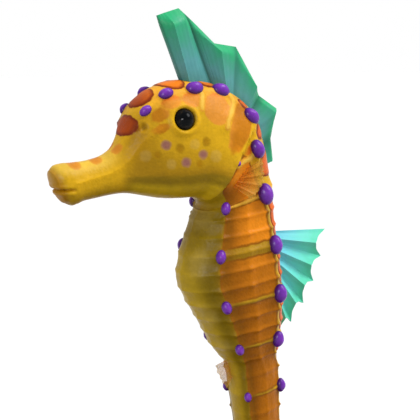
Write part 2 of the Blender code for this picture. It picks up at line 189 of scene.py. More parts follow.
# Ridges where the plates meet, in degrees from the back: dorsal, side, ventral and keel
RIDGES_TRUNK, RIDGES_TAIL = (73.0, 101.0, 130.0, 180.0), (45.0, 90.0, 135.0, 180.0)
NECK_TURN, NECK_BLEND = 6.0, 7.0  # degrees further down of the neck's dorsal ridge, and its length
COLUMNS = (34, 13, 15, 20)  # columns of faces from the back to each ridge
HEAD_ROWS, BEND_ROWS = 120, 62  # rows before the spine's bend and from there to the first ring
TRUNK_RING_ROWS = np.arange(14) / 14
TAIL_RING_ROWS = np.array([0.0, 0.25, 0.4, 0.5, 0.6, 0.75])

rows = [
    np.linspace(0.0, BEND_START, HEAD_ROWS, endpoint=False),
    np.linspace(BEND_START, TRUNK_START, BEND_ROWS, endpoint=False),
]
for ring, (start, end) in enumerate(zip(RING_EDGES, RING_EDGES[1:])):
    ring_rows = TRUNK_RING_ROWS if ring < TRUNK_RINGS else TAIL_RING_ROWS
    rows.append(start + (end - start) * ring_rows)
rows = np.concatenate(rows + [[SPINE_LENGTH]])


def ridge_angles(place):
    """Degrees from the back of the four ridges at a place."""
    share = float(tail_share(place))
    angles = [a * (1 - share) + b * share for a, b in zip(RIDGES_TRUNK, RIDGES_TAIL)]
    angles[0] += NECK_TURN * (1 - float(eased((place - TRUNK_START) / NECK_BLEND)))
    return angles


def mound(distance, reach):
    """A round swelling: 1 in its middle, almost 0 at twice its reach."""
    return np.exp(-((distance / reach) ** 2))


# The left half's points stand evenly between the ridges, at an arc in mm from the back, but closer
# together round the eye
EYE_PLACE, EYE_SHARE = 19.1, 0.7  # along the spine, and from the back to the dorsal ridge
CROWDING, CROWDED_LENGTH, CROWDED_SHARE = 1.4, 4.0, 0.2
fine = np.linspace(0.0, math.pi, 721)
steps = np.linalg.norm(np.diff(flesh(rows[:, None], fine), axis=1), axis=-1)
fine_arcs = np.concatenate([np.zeros((len(rows), 1)), np.cumsum(steps, axis=1)], axis=1)
shares = np.linspace(0.0, 1.0, 201)
near_eye = mound((shares[:-1] + shares[1:]) / 2 - EYE_SHARE, CROWDED_SHARE)
arc, angle, ridge_arcs = [], [], []
for place, row_arcs in zip(rows, fine_arcs):
    at = np.interp(np.radians(ridge_angles(place)), fine, row_arcs)
    ends = np.concatenate([[0.0], at])
    knots = [np.linspace(a, b, n, endpoint=False) for a, b, n in zip(ends, ends[1:], COLUMNS)]
    density = 1 + CROWDING * mound(place - EYE_PLACE, CROWDED_LENGTH) * near_eye
    crowded = np.concatenate([[0.0], np.cumsum(density)]) / density.sum()
    knots[0] = ends[1] * np.interp(np.arange(COLUMNS[0]) / COLUMNS[0], crowded, shares)
    arc.append(np.concatenate(knots + [[ends[-1]]]))
    angle.append(np.interp(arc[-1], row_arcs, fine))
    ridge_arcs.append(at)
arc, angle, ridge_arcs = np.array(arc), np.array(angle), np.array(ridge_arcs)
place = np.repeat(rows[:, None], arc.shape[1], axis=1)
degrees = np.degrees(angle)
bare = flesh(place, angle)
normal = outward(place, angle)
WIDEST = 6.0  # the trunk's half-width where it is widest, rounded
size = half_sizes(rows)[2][:, None] / WIDEST


def hollow(distance, reach):
    """A sharp ridge with hollow flanks: 1 on its line, 0 at its reach."""
    return np.clip(1 - np.abs(distance) / reach, 0.0, 1.0) ** 1.7


def between(values, t):
    """Rows of values read at t, straight from each to the next."""
    values = np.asarray(values, float)
    return np.stack([np.interp(t, range(len(values)), column) for column in values.T], axis=-1)


def strand(knots, count=60):
    """Points on the flesh along a line through knots of (place, degrees)."""
    at, turned = between(knots, np.linspace(0, len(knots) - 1, count)).T
    return flesh(at, np.radians(turned))


def distance_to(line):
    """Distance in mm of each point of the left half from a line of points."""
    nearest = np.full(place.shape, 99.0)
    for a, b in zip(line, line[1:]):
        t = np.clip(((bare - a) @ (b - a)) / max((b - a) @ (b - a), 1e-9), 0.0, 1.0)
        nearest = np.minimum(nearest, np.linalg.norm(bare - a - t[..., None] * (b - a), axis=-1))
    return nearest


# Rings and ridges of the plates, with heights and reaches in mm where the trunk is widest
KNOB_EVERY, LAST_KNOB_RING = 3, 30  # each third ring has large knobs
RIDGE_HEIGHTS = ((0.5, 0.95), (0.24, 0.25), (0.42, 0.8), (0.2, 0.0))  # on the trunk, on the tail
RIDGE_REACH, RING_REACH = 1.5, 1.2
KEEL_RIDGE = 3  # the ridge without tubercles
TUBERCLE, TUBERCLE_REACH = 0.26, 0.5
BAND, BAND_REACH, LARGE_BAND, LARGE_REACH = 0.24, 0.8, 0.14, 0.4  # the last two come on top
BELLY_FADE, BAND_FADE = 2.0, 0.4
ring_number = np.interp(rows, RING_EDGES, np.arange(len(RING_EDGES)))
ring = np.minimum(ring_number.astype(int), len(RING_MIDDLES) - 1)
ring_length = np.diff(RING_EDGES)[ring]
from_ring = (np.abs(ring_number - ring - 0.5) * ring_length)[:, None]
on_rings = (rows >= RING_EDGES[0])[:, None]
large = ((ring % KNOB_EVERY == 0) & (ring <= LAST_KNOB_RING))[:, None] * on_rings
on_body = eased((rows - NECK_START) / NECK)[:, None]
on_tail = tail_share(rows)[:, None]
relief = np.zeros(place.shape)
for number, (on_trunk, further) in enumerate(RIDGE_HEIGHTS):
    off_ridge = arc - ridge_arcs[:, number : number + 1]
    ridge = size * (on_trunk * (1 - on_tail) + further * on_tail)
    ridge = ridge * hollow(off_ridge, RIDGE_REACH * size)
    ridge = ridge * (0.7 + 0.3 * hollow(from_ring, RING_REACH * size))
    relief = np.maximum(relief, ridge * on_body)
    tubercle = mound(np.hypot(off_ridge, from_ring), TUBERCLE_REACH * size)
    relief += TUBERCLE * size * (tubercle * on_rings * (1 - large)) * (number < KEEL_RIDGE)
over_belly = eased((arc - ridge_arcs[:, 2:3]) / (BELLY_FADE * size))
band = size * (BAND + LARGE_BAND * large)
band = band * hollow(from_ring, (BAND_REACH + LARGE_REACH * large) * size)
band = band * (1 - BAND_FADE * over_belly) * on_rings * on_body
relief = np.maximum(relief, 0.8 * relief + band)

# Purple knobs: place, degrees from the back and radius of those on the head and neck
HEAD_KNOBS = (
    (14.2, 33.0, 0.78),
    (17.6, 25.0, 0.93),
    (21.6, 28.5, 1.12),
    (24.0, 27.0, 1.22),
    (26.7, 43.5, 1.25),
    (26.8, 88.0, 0.5),
    (28.4, 66.5, 1.25),
)
DORSAL_KNOB, VENTRAL_KNOB = 1.3, 0.92  # radius where the body is widest
FIRST_KNOB = 1.22  # the first dorsal knob stands out over its row
SMALLEST_KNOB, KNOB_GROWTH = 0.42, 0.09  # share of the radius, and its growth for each mm of width
KNOB_COLLAR, COLLAR_REACH = 0.22, 1.25  # the hide's swelling round a knob, over its radius
knobs = list(HEAD_KNOBS)
for number in range(0, LAST_KNOB_RING + 1, KNOB_EVERY):
    middle = RING_MIDDLES[number]
    dorsal, _, ventral, _ = ridge_angles(middle)
    taper = SMALLEST_KNOB + KNOB_GROWTH * float(half_sizes(middle)[2])
    first = FIRST_KNOB if number == 0 else 1.0
    knobs.append((middle, dorsal, DORSAL_KNOB * taper * first))
    knobs.append((middle, ventral, VENTRAL_KNOB * taper))
for at, turned, radius in knobs:
    off = np.linalg.norm(bare - flesh(at, math.radians(turned)), axis=-1)
    relief += KNOB_COLLAR * radius * mound(off, COLLAR_REACH * radius)

# Bony cords of the head: along the brow from knob to knob, and down the side of the skull
BROW_START, BROW_END, BROW_LIMIT = (12.8, 40), (33.4, 79), 70  # the last in degrees from the back
SKULL_CORDS = (
    ((24.4, 28), (24.9, 38), (24.7, 50), (24.3, 62), (24.2, 68)),
    ((21.8, 27), (22.2, 36), (21.9, 46), (21.7, 53)),
    ((28.4, 66), (28.3, 79), (27.2, 89)),
)
BROW_HEIGHT, BROW_REACH, CORD_HEIGHT, CORD_REACH = 0.34, 1.0, 0.2, 0.45
CROWN_KEEL, KEEL_PLACE, KEEL_LENGTH, KEEL_BREADTH = 0.5, 19.0, 5.0, 2.0  # low, on the midline
brow_knobs = [(at, turned) for at, turned, _ in HEAD_KNOBS if turned < BROW_LIMIT]
off_brow = distance_to(strand([BROW_START, *brow_knobs, BROW_END]))
off_cords = np.min([distance_to(strand(line)) for line in SKULL_CORDS], axis=0)
relief += BROW_HEIGHT * hollow(off_brow, BROW_REACH) + CORD_HEIGHT * mound(off_cords, CORD_REACH)
relief += CROWN_KEEL * mound(arc, KEEL_BREADTH) * mound(place - KEEL_PLACE, KEEL_LENGTH)

# Gill cover: a thin bony lid that ends in a free edge behind the cheek, with its rays. Its edge is
# given by degrees from the back and place
GILL_EDGE = (
    (30, 27.6),
    (54, 27.3),
    (74, 26.9),
    (88, 26.8),
    (110, 26.7),
    (140, 26.0),
    (165, 25.0),
    (180, 24.6),
)
LID_TOP, LID_FOOT, LID_HEIGHT, LID_RISE = 40, 172, 0.4, 5.0
LID_GROOVE, GROOVE_REACH = 0.35, 0.35
GILL_RAYS, GILL_RAY, RAYS_BEFORE, RAYS_REACH = 26, 0.07, 2.2, 1.6
behind = place - np.interp(degrees, *np.transpose(GILL_EDGE))
lid = eased((degrees - LID_TOP) / 25) * eased((LID_FOOT - degrees) / 20)
groove = -LID_GROOVE * mound(behind - GROOVE_REACH, GROOVE_REACH)
relief += lid * LID_HEIGHT * np.where(behind < 0, eased(1 + behind / LID_RISE), groove)
gill_rays = 0.5 + 0.5 * np.cos(np.radians(degrees) * GILL_RAYS)
relief += GILL_RAY * lid * gill_rays * mound(behind + RAYS_BEFORE, RAYS_REACH)

# Eye sockets: a raised ring round a dish that holds the eyeball
EYE_ANGLE, EYE_RADIUS, EYE_SINK = math.radians(61.0), 1.75, 0.85
EYE_RING, EYE_RING_RADIUS, EYE_RING_REACH = 0.36, 1.95, 0.4
DISH, DISH_RADIUS, DISH_WALL = 1.3, 1.68, 0.8
eye_axis = outward(EYE_PLACE, EYE_ANGLE)
eye_centre = flesh(EYE_PLACE, EYE_ANGLE) - eye_axis * EYE_SINK
to_eye = bare - eye_centre
depth = to_eye @ eye_axis
off_eye = np.linalg.norm(to_eye - depth[..., None] * eye_axis, axis=-1)
off_eye = np.where(depth > 0, off_eye, 99.0)
dish = DISH * eased((DISH_RADIUS - off_eye) / DISH_WALL)
relief += EYE_RING * mound(off_eye - EYE_RING_RADIUS, EYE_RING_REACH) - dish

# Nostrils with a thin rim, and a faint ridge from the corner of the mouth to the eye
NOSTRIL, NOSTRIL_RADIUS, NOSTRIL_DEPTH = (13.3, math.radians(50.0)), 0.42, 0.32
RIM, RIM_RADIUS, RIM_REACH = 0.12, 0.75, 0.25
SNOUT_RIDGE = ((2.0, 86), (8.0, 78), (12.0, 66), (15.5, 64))
SNOUT_RIDGE_HEIGHT, SNOUT_RIDGE_REACH = 0.13, 0.9
off_nostril = np.linalg.norm(bare - flesh(*NOSTRIL), axis=-1)
pit = NOSTRIL_DEPTH * mound(off_nostril, NOSTRIL_RADIUS)
relief += RIM * mound(off_nostril - RIM_RADIUS, RIM_REACH) - pit
relief += SNOUT_RIDGE_HEIGHT * hollow(distance_to(strand(SNOUT_RIDGE)), SNOUT_RIDGE_REACH)

# Markings, in mm inside their edges. Ovals: place, degrees from the back, half-length, half-breadth
FOREHEAD_PLATES = (
    (11.95, 0, 1.6, 3.0),
    (15.1, 0, 2.0, 2.35),
    (19.9, 0, 2.1, 2.9),
    (23.3, 0, 1.75, 3.05),
)
NAPE_PLATES = ((26.0, 30, 1.1, 1.2), (28.3, 38, 1.2, 1.9), (31.0, 42, 2.0, 2.9))
FACE_BLOTCHES = (
    (15.8, 49, 1.4, 0.95),
    (15.6, 63.5, 1.3, 0.62),
    (17.9, 39, 1.6, 0.95),
    (20.9, 42, 1.55, 1.2),
    (23.3, 52.5, 2.3, 2.4),
    (25.75, 61, 1.85, 4.3),
    (27.9, 70, 0.6, 1.6),
)
SNOUT_SADDLES = ((3.2, 18, 0.95, 1.15), (6.6, 15, 0.95, 1.0), (9.9, 20, 0.9, 0.8))
BELLY_BLOTCHES = (
    (35.6, 167, 1.7, 1.5),
    (41.9, 156, 2.0, 1.6),
    (50.5, 161, 2.0, 1.7),
    (56.5, 158, 1.6, 1.3),
)
# Dots: place, degrees from the back, radius
PLUM_DOTS = ((15.8, 78, 0.75), (18.4, 89, 0.75), (21.1, 87, 0.75))
OCHRE_DOTS = ((17.7, 82, 0.7), (14.5, 83, 0.65), (21.7, 80, 0.7), (20.4, 90, 0.65))
PALE_DOTS = ((12.9, 80, 0.8), (16.2, 89, 0.7), (20.0, 81, 0.75), (23.0, 88, 0.85))
PANEL_INSET, PLATE_INSET, PANEL_ROUND = 0.26, 0.8, 1.3
NECK_PANEL = 26.6  # start of the first orange panel
WIDE_BAND = 0.8  # half-width of the pale band on the fourth ring
CORD_WIDTH, FIRST_CORD_WIDTH, FIRST_CORD_FOOT = 0.5, 0.34, 126
PLATE_SWELL, PANEL_SWELL, SWELL_EDGE = 0.1, 0.06, 0.3
OUTSIDE = -9.0


def tangents(at, turned):
    """A point of the flesh, with its outward normal and its direction along the spine."""
    turned = math.radians(turned)
    centre, out = flesh(at, turned), outward(at, turned)
    along = flesh(at + 0.05, turned) - centre
    return centre, out, unit(along - out * (along @ out))


def inside_ovals(ovals):
    """How far in mm each point lies inside the nearest oval or dot."""
    inside = np.full(place.shape, OUTSIDE)
    for at, turned, length, *breadth in ovals:
        breadth = breadth[0] if breadth else length
        centre, out, along = tangents(at, turned)
        off = bare - centre
        spread = (off @ along) / length, (off @ np.cross(out, along)) / breadth
        reach = np.hypot(np.hypot(*spread), (off @ out) / (length + breadth))
        inside = np.maximum(inside, (1 - reach) * min(length, breadth))
    return inside


def inside_box(x, y, half_x, half_y, corner):
    """How far in mm each point lies inside a box with round corners."""
    dx, dy = np.abs(x) - half_x + corner, np.abs(y) - half_y + corner
    outside = np.hypot(np.maximum(dx, 0), np.maximum(dy, 0)) + np.minimum(np.maximum(dx, dy), 0)
    return corner - outside


panels = np.full(place.shape, OUTSIDE)  # orange, on the sides
plates = inside_ovals(FOREHEAD_PLATES + NAPE_PLATES)  # red, on forehead and back
dorsal, ventral = ridge_arcs[:, 0:1], ridge_arcs[:, 2:3]
edges = [NECK_PANEL] + list(RING_MIDDLES[::KNOB_EVERY]) + [SPINE_LENGTH - 1.0]
for start, end in zip(edges, edges[1:]):
    group = float(half_sizes((start + end) / 2)[2]) / WIDEST
    x, half_x = place - (start + end) / 2, (end - start) / 2
    y, half_y = arc - (dorsal + ventral) / 2, (ventral - dorsal) / 2
    inset, corner = PANEL_INSET * group, PANEL_ROUND * group
    panels = np.maximum(panels, inside_box(x, y, half_x - inset, half_y - inset * 0.5, corner))
    if start > TRUNK_START:
        inset = PLATE_INSET * group
        plate = inside_box(x, arc, half_x - inset, dorsal - inset, corner)
        plates = np.maximum(plates, plate)
panels = np.minimum(panels, np.abs(place - RING_MIDDLES[KNOB_EVERY]) - WIDE_BAND)
panels = np.minimum(panels, np.maximum(behind - 0.3, place - TRUNK_START))
on_first = (ring == 0)[:, None] * (degrees < FIRST_CORD_FOOT)
first_cord = np.where(on_first, FIRST_CORD_WIDTH - from_ring, OUTSIDE)
cords = np.maximum(CORD_WIDTH - off_cords, first_cord)  # yellow, on the skull and the first ring
panel_swell = PANEL_SWELL * eased(panels / SWELL_EDGE) * on_body
relief += PLATE_SWELL * eased(plates / SWELL_EDGE) + panel_swell

# Ground colour of the hide, blended from region to region. Painted light lightens the snout's top;
# painted shade darkens the snout's underside, the face's front, the cheek down to the jaw line, the
# throat and the ventral ridge
YELLOW, CROWN, SNOUT_TOP_PAINTED_LIGHT, SNOUT_UNDER_PAINTED_SHADE = "#f2bb1c", "#ffb434", "#ffd250", "#d0a210"
LIPS = "#b06c10"
FACE_PAINTED_SHADE, LOW_CHEEK_PAINTED_SHADE, JAW_EDGE_PAINTED_SHADE, JAW = "#bd8b0e", "#bc8e14", "#9c7c12", "#e2b81c"
FLANK, BELLY, KEEL, THROAT_PAINTED_SHADE = "#bc8e1a", "#94780c", "#dcb62a", "#b89414"
RIDGE_PAINTED_SHADE = "#8a5c08"
# Middles of the markings. Painted shade darkens the front plates, and the panels down the trunk and
# towards the belly
FRONT_PLATE_PAINTED_SHADE, CROWN_PLATE, BACK_PLATE = "#b44a0e", "#ff8620", "#ee6c1c"
FACE_BLOTCH, BROW_BLOTCH, CHEEK_BLOTCH = "#ce7e10", "#fa9e38", "#cc760e"
PANEL_TOP, PANEL_LOW_PAINTED_SHADE, PANEL_FOOT_PAINTED_SHADE = "#ff981a", "#a45e04", "#a86206"
JAW_LINE = ((13.0, 96.0), (18.7, 101.0), (24.8, 104.0))  # place and degrees from the back


def linear(colour):
    """Linear light of an sRGB hex colour."""
    parts = np.array([int(colour[i : i + 2], 16) / 255 for i in (1, 3, 5)])
    return np.where(parts <= 0.04045, parts / 12.92, ((parts + 0.055) / 1.055) ** 2.4)


def washed(ground, *layers):
    """The ground colour with others laid over it in turn, each by its share at each point."""
    shade = np.ones(place.shape + (3,)) * linear(ground)
    for colour, share in layers:
        share = np.clip(share, 0.0, 1.0)[..., None]
        shade = shade * (1 - share) + linear(colour) * share
    return shade


on_head = 1 - on_body
off_jaw = degrees - np.interp(place, *np.transpose(JAW_LINE))
under_jaw = on_head * eased((place - 9) / 3)
tone = washed(
    YELLOW,
    (CROWN, 0.85 * on_head * eased((60 - degrees) / 35) * eased((place - 12) / 5)),
    # Painted light: the top of the snout is made lighter
    (SNOUT_TOP_PAINTED_LIGHT, 0.8 * eased((75 - degrees) / 40) * eased((11 - place) / 3)),
    # Painted shade: the front of the face is made darker
    (FACE_PAINTED_SHADE, 0.85 * eased((degrees - 20) / 25) * mound(place - 12.6, 2.4)),
    # Painted shade: the cheek darkens down towards the jaw line and is darkest on it
    (LOW_CHEEK_PAINTED_SHADE, under_jaw * eased((off_jaw + 22) / 18)),
    (JAW_EDGE_PAINTED_SHADE, under_jaw * eased((off_jaw + 5) / 6)),
    (JAW, under_jaw * eased((off_jaw - 6) / 18)),
    # Painted shade: the underside of the snout is made darker
    (SNOUT_UNDER_PAINTED_SHADE, eased((degrees - 95) / 50) * eased((12 - place) / 5)),
    (LIPS, 0.6 * eased(1 - place / 0.5)),
    (FLANK, on_body * eased((degrees - 60) / 15)),
    (BELLY, on_body * eased((arc - ventral) / (1.2 * size) + 0.5)),
    # Painted shade: a dark strip along the ventral ridge
    (RIDGE_PAINTED_SHADE, 0.7 * on_body * mound(degrees - 122, 9)),
    (KEEL, 0.75 * eased((place - 36) / 9) * on_body * eased((degrees - 140) / 25)),
    # Painted shade: the throat under the head is made darker
    (THROAT_PAINTED_SHADE, mound(place - 30, 3.5) * eased((degrees - 115) / 15)),
)
on_face = eased((degrees - 34) / 5) * eased((27.4 - place) / 0.8)
on_side = eased((arc - dorsal) / 0.3 + 0.5) * eased((place - 25) / 2)
mark_tone = washed(
    # Painted shade: the plates at the front of the forehead are darker than those on the crown
    FRONT_PLATE_PAINTED_SHADE,
    (CROWN_PLATE, eased((place - 14) / 5)),
    (BACK_PLATE, eased((place - 24) / 2)),
    (BROW_BLOTCH, on_face),
    (FACE_BLOTCH, on_face * eased((17.6 - place) / 1.6)),
    (CHEEK_BLOTCH, on_face * eased((place - 24.2) / 1.2)),
    (PANEL_TOP, on_side),
    # Painted shade: the panels darken further down the trunk
    (PANEL_FOOT_PAINTED_SHADE, 0.75 * on_side * eased((place - 38) / 10)),
    # Painted shade: the panels darken towards the belly
    (PANEL_LOW_PAINTED_SHADE, on_side * eased((degrees - 92) / 36)),
    # Painted shade along the ventral ridge, over the panels too
    (RIDGE_PAINTED_SHADE, 0.5 * on_body * mound(degrees - 126, 9)),
)

# The whole skin: rows of the left half and its mirror image, from belly to belly, with closed ends
LIP_ROWS, LIP_BULGE, TIP_ROWS = 14, 0.55, 5
# The mouth's slit: its height at the snout's tip, its fall and end towards the corners, its size
MOUTH_HEIGHT, MOUTH_FALL, MOUTH_CORNER, CORNER_FADE = -0.5, 0.12, 0.9, 0.9
SLIT_DEPTH, SLIT_REACH, MOUTH_DEPTH = 0.7, 0.32, 2.2
LIP, LIP_OFF, LIP_REACH = 0.1, 0.55, 0.25

last = arc.shape[1] - 1
halves = np.concatenate([np.arange(last, 0, -1), np.arange(last)])
sides = np.where(np.arange(len(halves)) < last, -1.0, 1.0)
skin_points = bare + normal * relief[..., None]
skin_points[:, [0, -1], 0] = 0.0


def rounded_end(row, bulge, count):
    """Rows that close the tube, from the pole to the row beside it, and the pole."""
    middle = (row[0] + row[-1]) / 2
    t = np.linspace(0, 1, count + 1)[1:-1, None, None] * math.pi / 2
    return middle + (row - middle) * np.sin(t) + bulge * np.cos(t), middle + bulge[0]


heading = math.radians(HEAD_TILT)
forward = np.array([0.0, -math.cos(heading), -math.sin(heading)])
upward = np.array([0.0, -math.sin(heading), math.cos(heading)])
front_rows, front_pole = rounded_end(skin_points[0], forward[None] * LIP_BULGE, LIP_ROWS)
tip_way = unit(skin_points[-1].mean(0) - skin_points[-4].mean(0))
tip_rows, tip_pole = rounded_end(skin_points[-1], tip_way[None] * TAIL_TIP, TIP_ROWS)
skin_points = np.concatenate([front_rows, skin_points, tip_rows[::-1]])


def with_mouth(points):
    """Presses the mouth's slit into the front of the snout and swells its lips."""
    off = points - np.array([0.0, *SNOUT_TIP])
    height = off @ upward
    back_by = -(off @ forward) - MOUTH_SLANT * (SECTIONS[0][1] - height)
    from_slit = height - MOUTH_HEIGHT + MOUTH_FALL * np.maximum(back_by, 0.0)
    fade = eased(1 - (back_by - MOUTH_CORNER) / CORNER_FADE)
    inward = unit(np.array([0.0, *SNOUT_TIP]) - forward * MOUTH_DEPTH - points)
    lips = LIP * mound(np.abs(from_slit) - LIP_OFF, LIP_REACH)
    return points + inward * (fade * (SLIT_DEPTH * hollow(from_slit, SLIT_REACH) - lips))[..., None]


skin_points = with_mouth(skin_points)
front_pole = with_mouth(front_pole[None])[0]


def whole(field):
    """The left half's field, on every point of the skin, its closed ends and their poles."""
    ends = [field[:1]] * len(front_rows), [field[-1:]] * len(tip_rows)
    field = np.concatenate([*ends[0], field, *ends[1]])[:, halves]
    return np.concatenate([field.reshape(-1, *field.shape[2:]), field[0, :1], field[-1, :1]])


def add_mesh(name, points, faces, uvs=None, fields=None):
    """A new piece from points in mm, with its bake map and its named fields, one value a point."""
    mesh = bpy.data.meshes.new(name)
    mesh.from_pydata((np.asarray(points) * MM).tolist(), [], faces)
    if uvs is not None:
        mesh.uv_layers.new(name="OFBake").data.foreach_set("uv", np.ravel(uvs))
    for field, values in (fields or {}).items():
        kind, key = ("FLOAT", "value") if values.ndim == 1 else ("FLOAT_COLOR", "color")
        if kind == "FLOAT_COLOR":
            values = np.concatenate([values, np.ones((len(values), 1))], axis=1)
        mesh.attributes.new(field, kind, "POINT").data.foreach_set(key, np.ravel(values))
    mesh.polygons.foreach_set("use_smooth", [True] * len(mesh.polygons))
    piece = bpy.data.objects.new(name, mesh)
    bpy.context.scene.collection.objects.link(piece)
    return piece


around = len(halves)
points = skin_points[:, halves]
points[..., 0] *= sides
count = len(points)
faces, uvs = [], []
for row in range(count - 1):
    for i in range(around):
        corners = (row, i), (row, i + 1), (row + 1, i + 1), (row + 1, i)
        faces.append([r * around + c % around for r, c in corners])
        uvs += [(c / around, (r + 1) / (count + 1)) for r, c in corners]
for row, pole, level in ((0, count * around, 0.0), (count - 1, count * around + 1, 1.0)):
    for i in range(around):
        pair = (i, i + 1) if row else (i + 1, i)
        faces.append([row * around + c % around for c in pair] + [pole])
        uvs += [(c / around, (row + 1) / (count + 1)) for c in pair]
        uvs.append(((i + 0.5) / around, level))
pale_marks = np.maximum(inside_ovals(PALE_DOTS), 0.3 * inside_ovals(BELLY_BLOTCHES))
fields = {
    "tone": tone,
    "panel": panels,
    "plate": plates,
    "blotch": inside_ovals(FACE_BLOTCHES),
    "saddle": inside_ovals(SNOUT_SADDLES),
    "plum_dot": inside_ovals(PLUM_DOTS),
    "ochre_dot": inside_ovals(OCHRE_DOTS),
    "pale_mark": pale_marks,
    "cord": cords,
    "mark_tone": mark_tone,
    "relief": relief,
}
all_points = np.concatenate([points.reshape(-1, 3), [front_pole, tip_pole]])
fields = {name: whole(field) for name, field in fields.items()}
hide = add_mesh("hide", all_points, faces, uvs, fields)


def wire(owner, node, *values, **links):
    """Gives a node's inputs, in order or by name, a value, an sRGB colour or another's output."""
    inputs = [socket for socket in node.inputs if socket.enabled]
    named = {socket.name.replace(" ", "_"): socket for socket in inputs}
    for socket, value in [*zip(inputs, values), *((named[name], links[name]) for name in links)]:
        if isinstance(value, bpy.types.NodeSocket):
            owner.node_tree.links.new(value, socket)
        else:
            colour = isinstance(value, str)
            socket.default_value = (*linear(value), 1.0) if colour else value


def add_node(owner, kind, *values, output="", stops=(), **links):
    """Adds a shader node and returns an output. Capital names are inputs, small ones settings."""
    made = owner.node_tree.nodes.new("ShaderNode" + kind)
    for name in [name for name in links if name[0].islower()]:
        setattr(made, name, links.pop(name))
    wire(owner, made, *values, **links)
    for number, (at, colour) in enumerate(stops):
        if number > 1:
            made.color_ramp.elements.new(at)
        made.color_ramp.elements[number].position = at
        made.color_ramp.elements[number].color = (*linear(colour), 1.0)
    return made.outputs[output] if output else next(way for way in made.outputs if way.enabled)


def new_material(name):
    """An empty material and its Principled shader."""
    made = bpy.data.materials.new(name)
    made.use_nodes = True
    return made, made.node_tree.nodes["Principled BSDF"]


def per_mm(size_mm):
    """The texture scale, in metres, of a pattern that repeats in this many millimetres."""
    return 1.0 / (size_mm * MM)


# Seahorse hide: living skin, damp from its slime coat, over bone. It shines softly, its colour sits
# in clouds of pigment cells, and its markings have slightly ragged edges, darker at the rim. The
# grain is drawn about three times coarser than real pigment cells.
CLOUD_MM, GRAIN_MM, RAGGED_MM, PEBBLE_MM = 2.4, 0.5, 0.9, 0.45
RAGGED_BY, PEBBLE_DEPTH = 0.09, 0.05
# Field, width of its soft edge and of its rim in mm, colours of the rim and of the middle (None is
# the skin's own mark_tone), and strength
MARK_LAYERS = (
    ("panel", 0.25, 0.5, "#a0600a", None, 1.0),
    ("blotch", 0.4, 0.7, None, None, 0.88),
    ("plate", 0.2, 0.65, "#86300c", None, 1.0),
    ("saddle", 0.35, 0.5, "#f09a30", "#ea8c28", 0.85),
    ("pale_mark", 0.5, 0.5, "#eed486", "#eed486", 0.16),
    ("ochre_dot", 0.4, 0.4, "#c8960e", "#c08a08", 0.85),
    ("plum_dot", 0.35, 0.4, "#bc8660", "#a86a6e", 0.85),
    ("cord", 0.2, 0.35, "#f2ac30", "#ffc848", 1.0),
)
BLEND = {"data_type": "RGBA"}
MULTIPLY = {"data_type": "RGBA", "blend_type": "MULTIPLY", "Factor": 1.0}
NOISE_SPAN = {"From_Min": 0.3, "From_Max": 0.7}  # a noise seldom leaves it

hide_skin, shader = new_material("damp_seahorse_hide")
spot = add_node(hide_skin, "TexCoord", output="Object")
pigment = {"Vector": spot, "Roughness": 0.6}
clouds = add_node(hide_skin, "TexNoise", Scale=per_mm(CLOUD_MM), Detail=3.0, **pigment)
grain = add_node(hide_skin, "TexNoise", Scale=per_mm(GRAIN_MM), Detail=2.0, **pigment)
ragged = add_node(hide_skin, "TexNoise", Vector=spot, Scale=per_mm(RAGGED_MM), Detail=2.0)
wobble = {"Value": ragged, "To_Min": -RAGGED_BY, "To_Max": RAGGED_BY}
wobble = add_node(hide_skin, "MapRange", **wobble, **NOISE_SPAN)
mark_shade = add_node(hide_skin, "Attribute", attribute_name="mark_tone")
colour = add_node(hide_skin, "Attribute", attribute_name="tone")
for field, edge, rim, *shades, strength in MARK_LAYERS:
    inside = add_node(hide_skin, "Attribute", output="Fac", attribute_name=field)
    inside = add_node(hide_skin, "Math", inside, wobble, operation="ADD")
    soft = {"Value": inside, "interpolation_type": "SMOOTHSTEP"}
    ends = {"From_Min": -edge / 2, "From_Max": edge / 2, "To_Max": strength}
    over = add_node(hide_skin, "MapRange", **soft, **ends)
    core = add_node(hide_skin, "MapRange", From_Min=0.1, From_Max=rim, **soft)
    rim_shade, middle = (shade or mark_shade for shade in shades)
    mark = add_node(hide_skin, "Mix", Factor=core, A=rim_shade, B=middle, **BLEND)
    colour = add_node(hide_skin, "Mix", Factor=over, A=colour, B=mark, **BLEND)
relief_at = add_node(hide_skin, "Attribute", output="Fac", attribute_name="relief")
# What shades the skin, over which span, and how dark and light it makes it: painted shade in the
# hollows of the relief, partly wear and partly painted light on its raised ridges, and the
# pigment's clouds and grain
for source, low, high, dark, light in (
    (relief_at, -0.3, 0.12, 0.62, 1.0),
    (relief_at, 0.1, 0.9, 1.0, 1.14),
    (clouds, 0.3, 0.7, 0.9, 1.08),
    (grain, 0.3, 0.7, 0.95, 1.04),
):
    shade = add_node(hide_skin, "MapRange", source, low, high, dark, light)
    colour = add_node(hide_skin, "Mix", A=colour, B=shade, **MULTIPLY)
gloss = add_node(hide_skin, "MapRange", Value=clouds, To_Min=0.3, To_Max=0.44, **NOISE_SPAN)
pebbles = add_node(hide_skin, "TexVoronoi", Vector=spot, Scale=per_mm(PEBBLE_MM))
height = add_node(hide_skin, "Math", pebbles, grain, operation="ADD")
bump = {"Height": height, "Distance": PEBBLE_DEPTH * MM, "Strength": 0.6}
bump = add_node(hide_skin, "Bump", invert=True, **bump)
wire(hide_skin, shader, Base_Color=colour, Roughness=gloss, Normal=bump)
wire(hide_skin, shader, IOR=1.4, Specular_IOR_Level=0.16)
hide.data.materials.append(hide_skin)

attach(hide, "root")
flesh_nodes = ["snout", "head", "neck", "trunk_upper", "trunk_lower"]
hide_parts(*flesh_nodes, *(f"tail_{number}" for number in range(1, 6)))

# ---- Knobs ----
# Blunt purple spines where the plates' ridges cross, grown of the same bone and skin as the rings.
# Each is a rounded cone, longer along its ridge, and stands on a small collar of hide.
KNOB_SIZE = (0.88, 1.25, 0.82)  # breadth, length and height, over the knob's radius
KNOB_LIFT, KNOB_ROOT = 0.1, 0.3  # over its radius too
KNOB_POINT, KNOB_RISE = 0.16, 0.1  # how far the top is drawn in, and up

